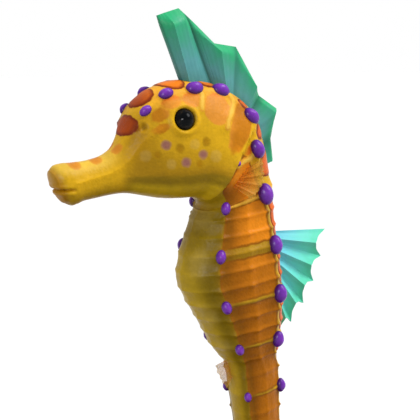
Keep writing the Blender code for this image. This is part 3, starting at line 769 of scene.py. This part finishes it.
bpy.ops.mesh.primitive_uv_sphere_add(segments=20, ring_count=12, radius=1.0)
model = bpy.context.object
knob_points = np.array([vertex.co for vertex in model.data.vertices])
knob_faces = [list(polygon.vertices) for polygon in model.data.polygons]
bpy.data.objects.remove(model)
top = np.clip(knob_points[:, 2], 0.0, 1.0)
knob_points[:, :2] *= (1 - KNOB_POINT * top**2)[:, None]
knob_points[:, 2] *= 1 + KNOB_RISE * top**3
points, faces, heights = [], [], []
for at, turned, radius in knobs:
    row = int(np.argmin(np.abs(rows - at)))
    column = int(np.argmin(np.abs(degrees[row] - turned)))
    sunk = relief[row, column] - KNOB_ROOT * radius
    foot = bare[row, column] + normal[row, column] * sunk
    for side in (1, -1):
        _, out, along = tangents(at, side * turned)
        local = knob_points * radius * np.array(KNOB_SIZE)
        local[:, 2] += KNOB_LIFT * radius
        first = len(points) * len(knob_points)
        faces += [[first + v for v in face] for face in knob_faces]
        axes = np.array([np.cross(along, out), along, out])
        points.append(foot * np.array([side, 1, 1]) + local @ axes)
        heights.append(top)
fields = {"height": np.concatenate(heights)}
knob_piece = add_mesh("knobs", np.concatenate(points), faces, fields=fields)

# Purple spine skin: the same living skin, drawn thin and wet over bone, so it is glossier than the
# plates. Painted shade darkens its purple at the foot and painted light lightens it towards the top
PURPLES_WITH_PAINTED_LIGHT = ((0.0, "#4a1478"), (0.45, "#6c22aa"), (1.0, "#8c3cc8"))
knob_skin, shader = new_material("purple_spine_skin")
spot = add_node(knob_skin, "TexCoord", output="Object")
height = add_node(knob_skin, "Attribute", output="Fac", attribute_name="height")
clouds = add_node(knob_skin, "TexNoise", Vector=spot, Scale=per_mm(0.6), Detail=3.0)
shade = add_node(knob_skin, "ValToRGB", height, stops=PURPLES_WITH_PAINTED_LIGHT)
mottle = add_node(knob_skin, "MapRange", Value=clouds, To_Min=0.85, To_Max=1.12, **NOISE_SPAN)
tint = add_node(knob_skin, "Mix", A=shade, B=mottle, **MULTIPLY)
bump = add_node(knob_skin, "Bump", Height=clouds, Distance=0.06 * MM, Strength=0.5)
wire(knob_skin, shader, Base_Color=tint, Normal=bump)
wire(knob_skin, shader, Roughness=0.3, IOR=1.42, Specular_IOR_Level=0.4)
knob_piece.data.materials.append(knob_skin)
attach(knob_piece, "root")

# ---- Eyes ----
# A seahorse's eye is a wet ball that turns in a ring of skin, with no lids. The clear cornea stands
# out a little in its middle, over a wide black pupil and a very dark iris flecked with bronze.
CORNEA_RISE, CORNEA_REACH = 0.16, 1.5

# Wet cornea over a dark iris: almost black, with one sharp highlight and a thin bronze ring at the
# rim
IRIS = ((0.42, "#070b10"), (0.7, "#362a18"))
# Share of the iris from the eye's axis out: none in the pupil, all at its rim, and less beyond
IRIS_SHARE = (
    (0.0, "#000000"),
    (0.36, "#000000"),
    (0.42, "#ffffff"),
    (0.56, "#8a8a8a"),
    (0.66, "#101010"),
)
eye_skin, shader = new_material("wet_dark_eye")
spot = add_node(eye_skin, "TexCoord", output="Object")
off_axis = add_node(eye_skin, "Attribute", output="Fac", attribute_name="off_axis")
flecks = add_node(eye_skin, "TexNoise", Vector=spot, Scale=per_mm(0.35), Detail=3.0)
iris = add_node(eye_skin, "ValToRGB", flecks, stops=IRIS)
share = add_node(eye_skin, "ValToRGB", off_axis, stops=IRIS_SHARE)
tint = add_node(eye_skin, "Mix", Factor=share, A="#04070a", B=iris, **BLEND)
wire(eye_skin, shader, Base_Color=tint, Roughness=0.06, IOR=1.38, Specular_IOR_Level=0.14)

for name, side in (("left", 1), ("right", -1)):
    mirror = np.array([side, 1, 1])
    axis, centre = eye_axis * mirror, eye_centre * mirror
    bpy.ops.object.select_all(action="DESELECT")
    bpy.ops.mesh.primitive_uv_sphere_add(
        segments=48,
        ring_count=32,
        radius=EYE_RADIUS * MM,
        location=centre * MM,
        rotation=(0.0, math.acos(axis[2]), math.atan2(axis[1], axis[0])),
    )
    eyeball = bpy.context.object
    eyeball.name = "eyeball_" + name
    bpy.ops.object.mode_set(mode="EDIT")
    bpy.ops.mesh.select_all(action="DESELECT")
    bpy.ops.object.mode_set(mode="OBJECT")
    pole = max(eyeball.data.vertices, key=lambda vertex: vertex.co.z)
    pole.select = True
    bpy.ops.object.mode_set(mode="EDIT")
    bpy.ops.transform.translate(
        value=axis * CORNEA_RISE * MM,
        use_proportional_edit=True,
        proportional_edit_falloff="SMOOTH",
        proportional_size=CORNEA_REACH * MM,
    )
    bpy.ops.object.mode_set(mode="OBJECT")
    bpy.ops.object.transform_apply(location=True, rotation=True, scale=True)
    bpy.ops.object.shade_smooth()
    off = unit(np.array([vertex.co for vertex in eyeball.data.vertices]) / MM - centre)
    field = eyeball.data.attributes.new("off_axis", "FLOAT", "POINT")
    field.data.foreach_set("value", np.arccos(np.clip(off @ axis, -1, 1)) / math.pi * 2)
    eyeball.data.materials.append(eye_skin)
    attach(eyeball, "root")
    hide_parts("eye_" + name)

# ---- Crest ----
# The coronet: a tall blade of bone and skin down the nape. Four stout ribs and a thin last one
# stand in it, with creases between them, and its top slopes in to a thin edge.
ROOT_DEPTH = 0.9  # how far a fin's root goes into the hide
# Lines of its ribs and creases: Y and Z of the tip, place of the root, and half-thickness in mm
CREST_LINES = (
    (-13.3, 98.5, 21.8, 0.35),
    (-12.1, 98.9, 22.1, 1.9),
    (-9.7, 99.6, 23.2, 1.3),
    (-8.5, 98.7, 24.4, 0.25),
    (-7.2, 97.7, 24.8, 0.85),
    (-3.5, 94.7, 25.3, 1.75),
    (0.4, 94.2, 26.2, 0.4),
    (4.0, 88.9, 27.5, 1.3),
    (4.8, 86.8, 28.0, 0.3),
    (8.3, 84.7, 28.9, 1.15),
    (7.2, 80.0, 30.4, 0.25),
    (7.7, 76.6, 32.0, 0.6),
)
# Share of a rib's thickness up the crest, which slopes in over the last stretch
CREST_SWELL = ((0.0, 0.5), (0.25, 0.75), (0.86, 1.0), (1.0, 0.0))
CREST_EDGE, CREST_FOOT = 0.12, 0.25  # half-thickness at the top, and what the foot adds
CREASE_THICK, CREASE_FADE = 0.25, 0.5  # half-thickness of a crease, and how much more ends it
FIN_STEPS, RAY_STEPS = 26, 10  # faces from root to edge, and from ray to ray


def finish_faces(angle):
    """Points the active piece's faces outwards, and shades it smooth up to an angle in degrees."""
    bpy.ops.object.mode_set(mode="EDIT")
    bpy.ops.mesh.select_all(action="SELECT")
    bpy.ops.mesh.normals_make_consistent(inside=False)
    bpy.ops.object.mode_set(mode="OBJECT")
    bpy.ops.object.shade_smooth_by_angle(angle=math.radians(angle))


def spread(roots, tips):
    """Ray numbers across a fin, shares of its reach, and its roots and tips at those rays."""
    ray = np.linspace(0, len(roots) - 1, (len(roots) - 1) * RAY_STEPS + 1)
    return ray, np.linspace(0, 1, FIN_STEPS + 1), between(roots, ray), between(tips, ray)


def closed_web(name, ray, reach, sheet, wall, crease):
    """A fin from its middle sheet, thickened by a wall both ways and closed round its rim."""
    number = np.arange(len(ray) * len(reach)).reshape(len(ray), len(reach))
    other = number.size
    quads = number[:-1, :-1], number[1:, :-1], number[1:, 1:], number[:-1, 1:]
    faces = []
    for face in np.stack(quads, axis=-1).reshape(-1, 4).tolist():
        faces += [face, [v + other for v in face[::-1]]]
    rim = number[:, 0], number[-1, 1:], number[-2::-1, -1], number[0, -2:0:-1]
    rim = np.concatenate(rim).tolist()
    faces += [[b, a, a + other, b + other] for a, b in zip(rim, rim[1:] + rim[:1])]
    fields = {
        key: np.tile(np.broadcast_to(value, number.shape).ravel(), 2)
        for key, value in (("reach", reach), ("crease", crease), ("ray", ray[:, None]))
    }
    points = np.concatenate([(sheet + wall).reshape(-1, 3), (sheet - wall).reshape(-1, 3)])
    piece = add_mesh(name, points, faces, fields=fields)
    bpy.ops.object.select_all(action="DESELECT")
    piece.select_set(True)
    bpy.context.view_layer.objects.active = piece
    finish_faces(40)
    return piece


def midline_roots(places, turned):
    """Points at places on the flesh's midline, just under the hide."""
    return flesh(places, turned) - outward(np.asarray(places), turned) * ROOT_DEPTH


crest_roots = midline_roots([root for _, _, root, _ in CREST_LINES], 0.0)
crest_tips = [(0.0, y, z) for y, z, _, _ in CREST_LINES]
ray, reach, roots, tips = spread(crest_roots, crest_tips)
sheet = roots[:, None] * (1 - reach[:, None]) + tips[:, None] * reach[:, None]
rib = np.interp(ray, range(len(CREST_LINES)), [half for *_, half in CREST_LINES])[:, None]
swell = np.interp(reach, *np.transpose(CREST_SWELL))
half_thick = CREST_EDGE + (rib - CREST_EDGE) * swell + CREST_FOOT * (1 - reach) ** 2
wall = half_thick[..., None] * np.array([1.0, 0.0, 0.0])
# Where the coronet is thin between its ribs: its creases, which get painted shade
crease = np.clip(1 - (rib - CREASE_THICK) / CREASE_FADE, 0, 1)
crest = closed_web("coronet", ray, reach, sheet, wall, crease)


def fin_skin(name, shades, painted_crease_shade, ray_lines):
    """Fin membrane: thin moist skin on fine rays, tinted root to edge, painted shade in creases."""
    made, shader = new_material(name)
    spot = add_node(made, "TexCoord", output="Object")
    reach_at, ray_at, crease_at = (
        add_node(made, "Attribute", output="Fac", attribute_name=field)
        for field in ("reach", "ray", "crease")
    )
    clouds = add_node(made, "TexNoise", Vector=spot, Scale=per_mm(1.6), Detail=3.0)
    blots = add_node(made, "MapRange", Value=clouds, To_Min=-0.07, To_Max=0.07, **NOISE_SPAN)
    level = add_node(made, "Math", reach_at, blots, operation="ADD")
    shade = add_node(made, "ValToRGB", level, stops=shades)
    # Painted shade in the creases, at most three quarters of the way to its colour
    depth = add_node(made, "MapRange", crease_at, 0.3, 1.0, To_Max=0.75)
    crease_shaded = add_node(made, "Mix", Factor=depth, A=shade, B=painted_crease_shade, **BLEND)
    lines = add_node(made, "Math", ray_at, ray_lines, operation="MULTIPLY")
    for step in ("FRACT", "SUBTRACT", "ABSOLUTE"):
        lines = add_node(made, "Math", lines, 0.5, operation=step)
    streak = add_node(made, "MapRange", Value=lines, From_Max=0.5, To_Min=0.975, To_Max=1.02)
    tint = add_node(made, "Mix", A=crease_shaded, B=streak, **MULTIPLY)
    height = add_node(made, "Math", lines, clouds, operation="ADD")
    bump = add_node(made, "Bump", Height=height, Distance=0.08 * MM, Strength=0.5)
    gloss = add_node(made, "MapRange", Value=clouds, To_Min=0.32, To_Max=0.46, **NOISE_SPAN)
    wire(made, shader, Base_Color=tint, Normal=bump, Roughness=gloss)
    wire(made, shader, IOR=1.4, Specular_IOR_Level=0.25)
    return made


# Coronet skin: thick moist skin over bone, blue-green at its foot, greener above, with painted
# shade in its creases
CREST_SHADES = ((0.0, "#50979a"), (0.35, "#62acae"), (0.68, "#4cb092"), (0.92, "#30be7e"))
crest.data.materials.append(fin_skin("coronet_skin", CREST_SHADES, "#2a6455", 3.0))
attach(crest, "root")
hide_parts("crest")

# ---- Dorsal fin ----
# The swimming fin on the back: a fan of soft rays joined by thin skin, pleated like a folding fan.
# Its rays rise from the midline of about two rings, and every other ray lies in a fold's bottom.
DORSAL_SPAN, DORSAL_RAYS = (40.7, 46.6), 11
DORSAL_LEANS, DORSAL_LENGTHS = (-13.0, -83.0), (14.3, 12.9)  # first and last ray, degrees and mm
DORSAL_PLEAT, SHORT_RAYS = 0.85, 0.22  # depth of the folds in mm, and share off every other ray
DORSAL_HOLLOW = 0.03  # how far the edge falls in between rays, as a share of their length
MEMBRANE, RAY_SWELL, RAY_WIDTH = 0.16, 0.3, 0.16  # half-thickness in mm, what a ray adds, its width
FIN_FOOT = 0.2  # what the fin's foot adds to its half-thickness


def pleated_fin(name, roots, tips, pleat, hollow_edge, thick=MEMBRANE):
    """A fan of rays from roots to tips: folded to and fro, thick at each ray, thin at its edge."""
    ray, reach, roots, tips = spread(roots, tips)
    from_ray = np.abs(ray - np.round(ray))
    tips = tips + (roots - tips) * (hollow_edge * np.sin(math.pi * (ray % 1)) ** 2)[:, None]
    sheet = roots[:, None] * (1 - reach[:, None]) + tips[:, None] * reach[:, None]
    sideways = unit(np.cross(tips[0] - roots[0], tips[-1] - roots[-1]))
    fold = 1 - 2 * np.abs((ray % 2) - 1)  # -1 on even rays, 1 on odd ones, straight between
    fold = -pleat * fold[:, None] * (0.15 + 0.85 * reach)
    sheet = sheet + fold[..., None] * sideways
    ribs = mound(from_ray, RAY_WIDTH)[:, None]
    half = thick * (1 + RAY_SWELL / MEMBRANE * ribs * (1 - 0.6 * reach)) * (1 - 0.65 * reach**2)
    half = half + FIN_FOOT * (1 - reach) ** 3
    across = unit(np.cross(np.gradient(sheet, axis=0), np.gradient(sheet, axis=1)))
    # The folds' bottoms on one side, which get painted shade
    crease = (np.clip(fold / pleat, 0, 1) ** 4) * 0.6
    return closed_web(name, ray, reach, sheet, across * half[..., None], crease)


def midline_rays(span, count, turned, leans, lengths):
    """Roots under the hide's midline, and tips that lean from the direction square to their row."""
    roots = midline_roots(np.linspace(*span, count), turned)
    row = roots[-1] - roots[0]
    square = math.atan2(row[2], row[1]) + math.copysign(math.pi / 2, math.cos(turned))
    lean = square + np.radians(np.linspace(*leans, count))
    length = np.linspace(*lengths, count)[:, None]
    return roots, roots + length * np.stack([0 * lean, np.cos(lean), np.sin(lean)], axis=-1)


# Dorsal fin membrane: pale blue, thin and smooth, with faint rays and greener towards its edge,
# with painted shade in the bottoms of its folds
FAN_SHADES = ((0.0, "#6cccec"), (0.4, "#7ce0ee"), (0.75, "#78ecdc"), (1.0, "#62e6bc"))
roots, tips = midline_rays(DORSAL_SPAN, DORSAL_RAYS, 0.0, DORSAL_LEANS, DORSAL_LENGTHS)
tips[1::2] += SHORT_RAYS * (roots - tips)[1::2]
dorsal_fin = pleated_fin("dorsal_fin", roots, tips, DORSAL_PLEAT, DORSAL_HOLLOW)
dorsal_fin.data.materials.append(fin_skin("dorsal_fin_membrane", FAN_SHADES, "#5cbcb4", 2.0))
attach(dorsal_fin, "root")
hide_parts("fin_dorsal")

# ---- Anal and pectoral fins ----
# A tiny fin under the end of the trunk, and a small round fin behind each gill cover that steers
# the head. They are clear films between fine rays, so the plates behind them show through.
ANAL_SPAN, ANAL_RAYS, ANAL_LEANS, ANAL_LENGTHS = (60.2, 62.0), 5, (-10.0, 38.0), (3.2, 3.2)
PECTORAL_PLACE, PECTORAL_ANGLES, PECTORAL_DEPTH = 29.0, (88.0, 108.0), 0.2
PECTORAL_RAYS, PECTORAL_LENGTH, PECTORAL_SWING = 9, 3.9, 40.0
PECTORAL_FLARE, PECTORAL_ROUND = 0.4, 0.14
CLEAR_PLEAT, CLEAR_MEMBRANE = 0.12, 0.1  # depth of the folds and half-thickness in mm
ANAL_HOLLOW, PECTORAL_HOLLOW = 0.05, 0.04

# Clear fin membrane: a wet see-through film, warmed by the hide behind it and paler at its edge,
# with painted shade in its folds
CLEAR_SHADES = ((0.0, "#e07c14"), (0.4, "#e89824"), (1.0, "#ecb848"))
clear_membrane = fin_skin("clear_fin_membrane", CLEAR_SHADES, "#c8842c", 1.0)
clear_membrane.node_tree.nodes["Principled BSDF"].inputs["Alpha"].default_value = 0.42
fins = {}
roots, tips = midline_rays(ANAL_SPAN, ANAL_RAYS, math.pi, ANAL_LEANS, ANAL_LENGTHS)
fins["anal"] = pleated_fin("anal_fin", roots, tips, CLEAR_PLEAT, ANAL_HOLLOW, CLEAR_MEMBRANE)
for name, side in (("left", 1), ("right", -1)):
    turned = side * np.radians(np.linspace(*PECTORAL_ANGLES, PECTORAL_RAYS))
    swing = np.radians(np.linspace(PECTORAL_SWING, -PECTORAL_SWING, PECTORAL_RAYS))
    roots = flesh(PECTORAL_PLACE, turned) - outward(PECTORAL_PLACE, turned) * PECTORAL_DEPTH
    rounded = 1 - PECTORAL_ROUND * (1 - np.cos(swing * 90 / PECTORAL_SWING))
    way = unit(np.stack([side * PECTORAL_FLARE + 0 * swing, np.cos(swing), np.sin(swing)], axis=-1))
    tips = roots + way * (PECTORAL_LENGTH * rounded)[:, None]
    made = "pectoral_fin_" + name, roots, tips, CLEAR_PLEAT, PECTORAL_HOLLOW, CLEAR_MEMBRANE
    fins["pectoral_" + name] = pleated_fin(*made)
for name, fin in fins.items():
    fin.data.materials.append(clear_membrane)
    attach(fin, "root")
    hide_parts("fin_" + name)

# ---- Stand ----
# A plain display stand: an oval plinth cut from walnut with a moulded edge, and one brass rod that
# rises through a collar and holds the model under the curl of its tail.
FOOT_INSET = 0.5  # how far the plinth's foot stands in, in mm
COLLAR_RADIUS, COLLAR_HEIGHT, COLLAR_EDGE = 2.3, 1.3, 0.45
# Steps of the plinth's edge from the foot up: height and how far it stands in, in mm
PLINTH_STEPS = (
    (0.5, 0.0),
    (3.0, 0.0),
    (3.3, 0.35),
    (3.5, 1.0),
    (3.9, 1.15),
    (4.7, 1.4),
    (5.4, 2.0),
    (5.9, 2.9),
    (6.1, 3.2),
    (6.5, 3.25),
    (6.85, 3.55),
    (7.0, 4.1),
)

low, high = (np.array(corner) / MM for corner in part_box("stand_base"))
half_plinth = (high - low)[:2] / 2
bpy.ops.object.select_all(action="DESELECT")
bpy.ops.mesh.primitive_circle_add(vertices=128, radius=1.0, fill_type="NGON")
plinth = bpy.context.object
plinth.name = "plinth"
bpy.ops.object.mode_set(mode="EDIT")
bpy.ops.mesh.select_all(action="SELECT")
plan = (half_plinth - FOOT_INSET) * MM
bpy.ops.transform.resize(value=(*plan, 1.0))
height_before = 0.0
for height, inset in PLINTH_STEPS:
    plan_before, plan = plan, (half_plinth - inset) * MM
    rise = (0.0, 0.0, (height - height_before) * MM)
    bpy.ops.mesh.extrude_region_move(TRANSFORM_OT_translate={"value": rise})
    bpy.ops.transform.resize(value=(*(plan / plan_before), 1.0), center_override=(0.0, 0.0, 0.0))
    height_before = height
bpy.ops.object.mode_set(mode="OBJECT")
finish_faces(35)

# Oiled walnut: dark brown with darker growth rings drawn out along its length and fine open pores
WALNUTS = ((0.3, "#3a2113"), (0.48, "#5c3820"), (0.56, "#472a18"), (0.7, "#70482a"))
walnut, shader = new_material("oiled_walnut")
spot = add_node(walnut, "TexCoord", output="Object")
along = add_node(walnut, "Mapping", Vector=spot, Scale=(1.0, 0.12, 1.0))
growth = {"Vector": along, "Scale": per_mm(4.5), "Detail": 5.0, "Distortion": 0.8}
growth = add_node(walnut, "TexNoise", **growth)
pores = add_node(walnut, "TexNoise", Vector=along, Scale=per_mm(0.45), Detail=2.0)
shade = add_node(walnut, "ValToRGB", growth, stops=WALNUTS)
dark = add_node(walnut, "MapRange", pores, 0.32, 0.5, 0.6, 1.0)
tint = add_node(walnut, "Mix", A=shade, B=dark, **MULTIPLY)
bump = add_node(walnut, "Bump", Height=dark, Distance=0.05 * MM, Strength=0.6)
gloss = add_node(walnut, "MapRange", Value=pores, To_Min=0.5, To_Max=0.34)
wire(walnut, shader, Base_Color=tint, Normal=bump, Roughness=gloss, IOR=1.5)
plinth.data.materials.append(walnut)
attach(plinth, "root")
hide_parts("stand_base")

rod_low, rod_high = (np.array(corner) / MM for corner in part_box("stand_rod"))
rod_middle, rod_size = (rod_low + rod_high) / 2, rod_high - rod_low
collar_middle = np.array([*rod_middle[:2], high[2] + COLLAR_HEIGHT / 2])
bpy.ops.object.select_all(action="DESELECT")
bpy.ops.mesh.primitive_cylinder_add(
    vertices=64, radius=rod_size[0] / 2 * MM, depth=rod_size[2] * MM, location=rod_middle * MM
)
rod = bpy.context.object
rod.name = "rod"
bpy.ops.mesh.primitive_cylinder_add(
    vertices=64,
    radius=COLLAR_RADIUS * MM,
    depth=COLLAR_HEIGHT * MM,
    location=collar_middle * MM,
)
collar = bpy.context.object
rounded = collar.modifiers.new("rounded", "BEVEL")
rounded.width = COLLAR_EDGE * MM
rounded.segments = 5
bpy.ops.object.modifier_apply(modifier="rounded")
rod.select_set(True)
bpy.context.view_layer.objects.active = rod
bpy.ops.object.join()
bpy.ops.object.transform_apply(location=True, rotation=True, scale=True)
bpy.ops.object.shade_smooth_by_angle(angle=math.radians(35))

# Turned brass: warm yellow metal with the lathe's fine lines round it, a little dulled by handling
GOLDS = ((0.35, "#c79c4a"), (0.7, "#e0b866"))
brass, shader = new_material("turned_brass")
spot = add_node(brass, "TexCoord", output="Object")
round_it = add_node(brass, "Mapping", Vector=spot, Scale=(0.05, 0.05, 1.0))
lathe = add_node(brass, "TexNoise", Vector=round_it, Scale=per_mm(0.3), Detail=2.0)
handled = add_node(brass, "TexNoise", Vector=spot, Scale=per_mm(5.0), Detail=3.0)
shade = add_node(brass, "ValToRGB", handled, stops=GOLDS)
gloss = add_node(brass, "MapRange", Value=handled, To_Min=0.26, To_Max=0.36, **NOISE_SPAN)
bump = add_node(brass, "Bump", Height=lathe, Distance=0.006 * MM, Strength=0.4)
wire(brass, shader, Base_Color=shade, Roughness=gloss, Normal=bump, Metallic=1.0)
rod.data.materials.append(brass)
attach(rod, "root")
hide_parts("stand_rod")

# ---- Floor, lights and camera ----
# A plain pale studio: soft light from all round above, one broad lamp high over the animal's back,
# two small soft lamps before its face, and a white floor.
CAMERA_AZIMUTH, CAMERA_ELEVATION, CAMERA_DISTANCE = math.radians(56), math.radians(10), 137.2
CAMERA_TARGET, CAMERA_LENS = (0.0, -4.2, 69.7), 77.14
SUN_FROM, SUN_ANGLE, SUN_STRENGTH = (0.45, 0.5, 0.75), math.radians(35), 0.62 * math.pi
# Round soft lamps: one low in front that only lightens the face and belly, and one that only shows
# in wet and glossy skin, most of all in the eyes. Name, size in m, watts, place in m, and the rays
# that don't meet it
SOFT_LAMPS = (
    ("fill", 0.2, 0.2, (0.06, -0.39, 0.16), "visible_glossy"),
    ("catchlight", 0.11, 0.7, (0.24, -0.315, 0.14), "visible_diffuse"),
)
LAMP_AIM = (0.0, -0.01, 0.08)

scene = bpy.context.scene
scene.view_settings.view_transform = "Standard"
world = bpy.data.worlds.new("studio")
scene.world = world
world.use_nodes = True
way = add_node(world, "TexCoord", output="Generated")
up = add_node(world, "SeparateXYZ", way, output="Z")
shade = add_node(world, "MapRange", up, -0.5, 0.0, 0.25, 0.6)
seen = add_node(world, "LightPath", output="Is Camera Ray")
strength = add_node(world, "Math", shade, seen, operation="MAXIMUM")
wire(world, world.node_tree.nodes["Background"], Color="#ffffff", Strength=strength)

bpy.ops.mesh.primitive_plane_add(size=6.0)
floor = bpy.context.object
floor.name = "floor"
floor.visible_diffuse = False
# Matt white studio paper: it takes soft shadows and runs into the white behind it
paper, shader = new_material("white_studio_paper")
wire(paper, shader, Base_Color="#ffffff", Roughness=0.9)
floor.data.materials.append(paper)


def hang_lamp(name, kind, energy, place, aim):
    """Adds a lamp at a place in m, turned to shine at its aim."""
    lamp = bpy.data.objects.new(name, bpy.data.lights.new(name, kind))
    lamp.data.energy = energy
    lamp.location = place
    way = unit(np.array(place) - np.array(aim))
    lamp.rotation_euler = (math.acos(way[2]), 0.0, math.atan2(way[0], -way[1]))
    scene.collection.objects.link(lamp)
    return lamp


hang_lamp("key", "SUN", SUN_STRENGTH, SUN_FROM, (0.0, 0.0, 0.0)).data.angle = SUN_ANGLE
for name, lamp_size, watts, lamp_place, hidden_from in SOFT_LAMPS:
    lamp = hang_lamp(name, "AREA", watts, lamp_place, LAMP_AIM)
    lamp.data.shape = "DISK"
    lamp.data.size = lamp_size
    setattr(lamp, hidden_from, False)

camera = bpy.data.objects.new("camera", bpy.data.cameras.new("camera"))
camera.data.lens = CAMERA_LENS
camera.data.sensor_width = 36.0
camera.data.clip_start = 0.001
level = math.cos(CAMERA_ELEVATION)
back = np.array(
    [
        math.sin(CAMERA_AZIMUTH) * level,
        -math.cos(CAMERA_AZIMUTH) * level,
        math.sin(CAMERA_ELEVATION),
    ]
)
camera.location = (np.array(CAMERA_TARGET) + back * CAMERA_DISTANCE) * MM
camera.rotation_euler = (math.pi / 2 - CAMERA_ELEVATION, 0.0, CAMERA_AZIMUTH)
scene.collection.objects.link(camera)
scene.camera = camera
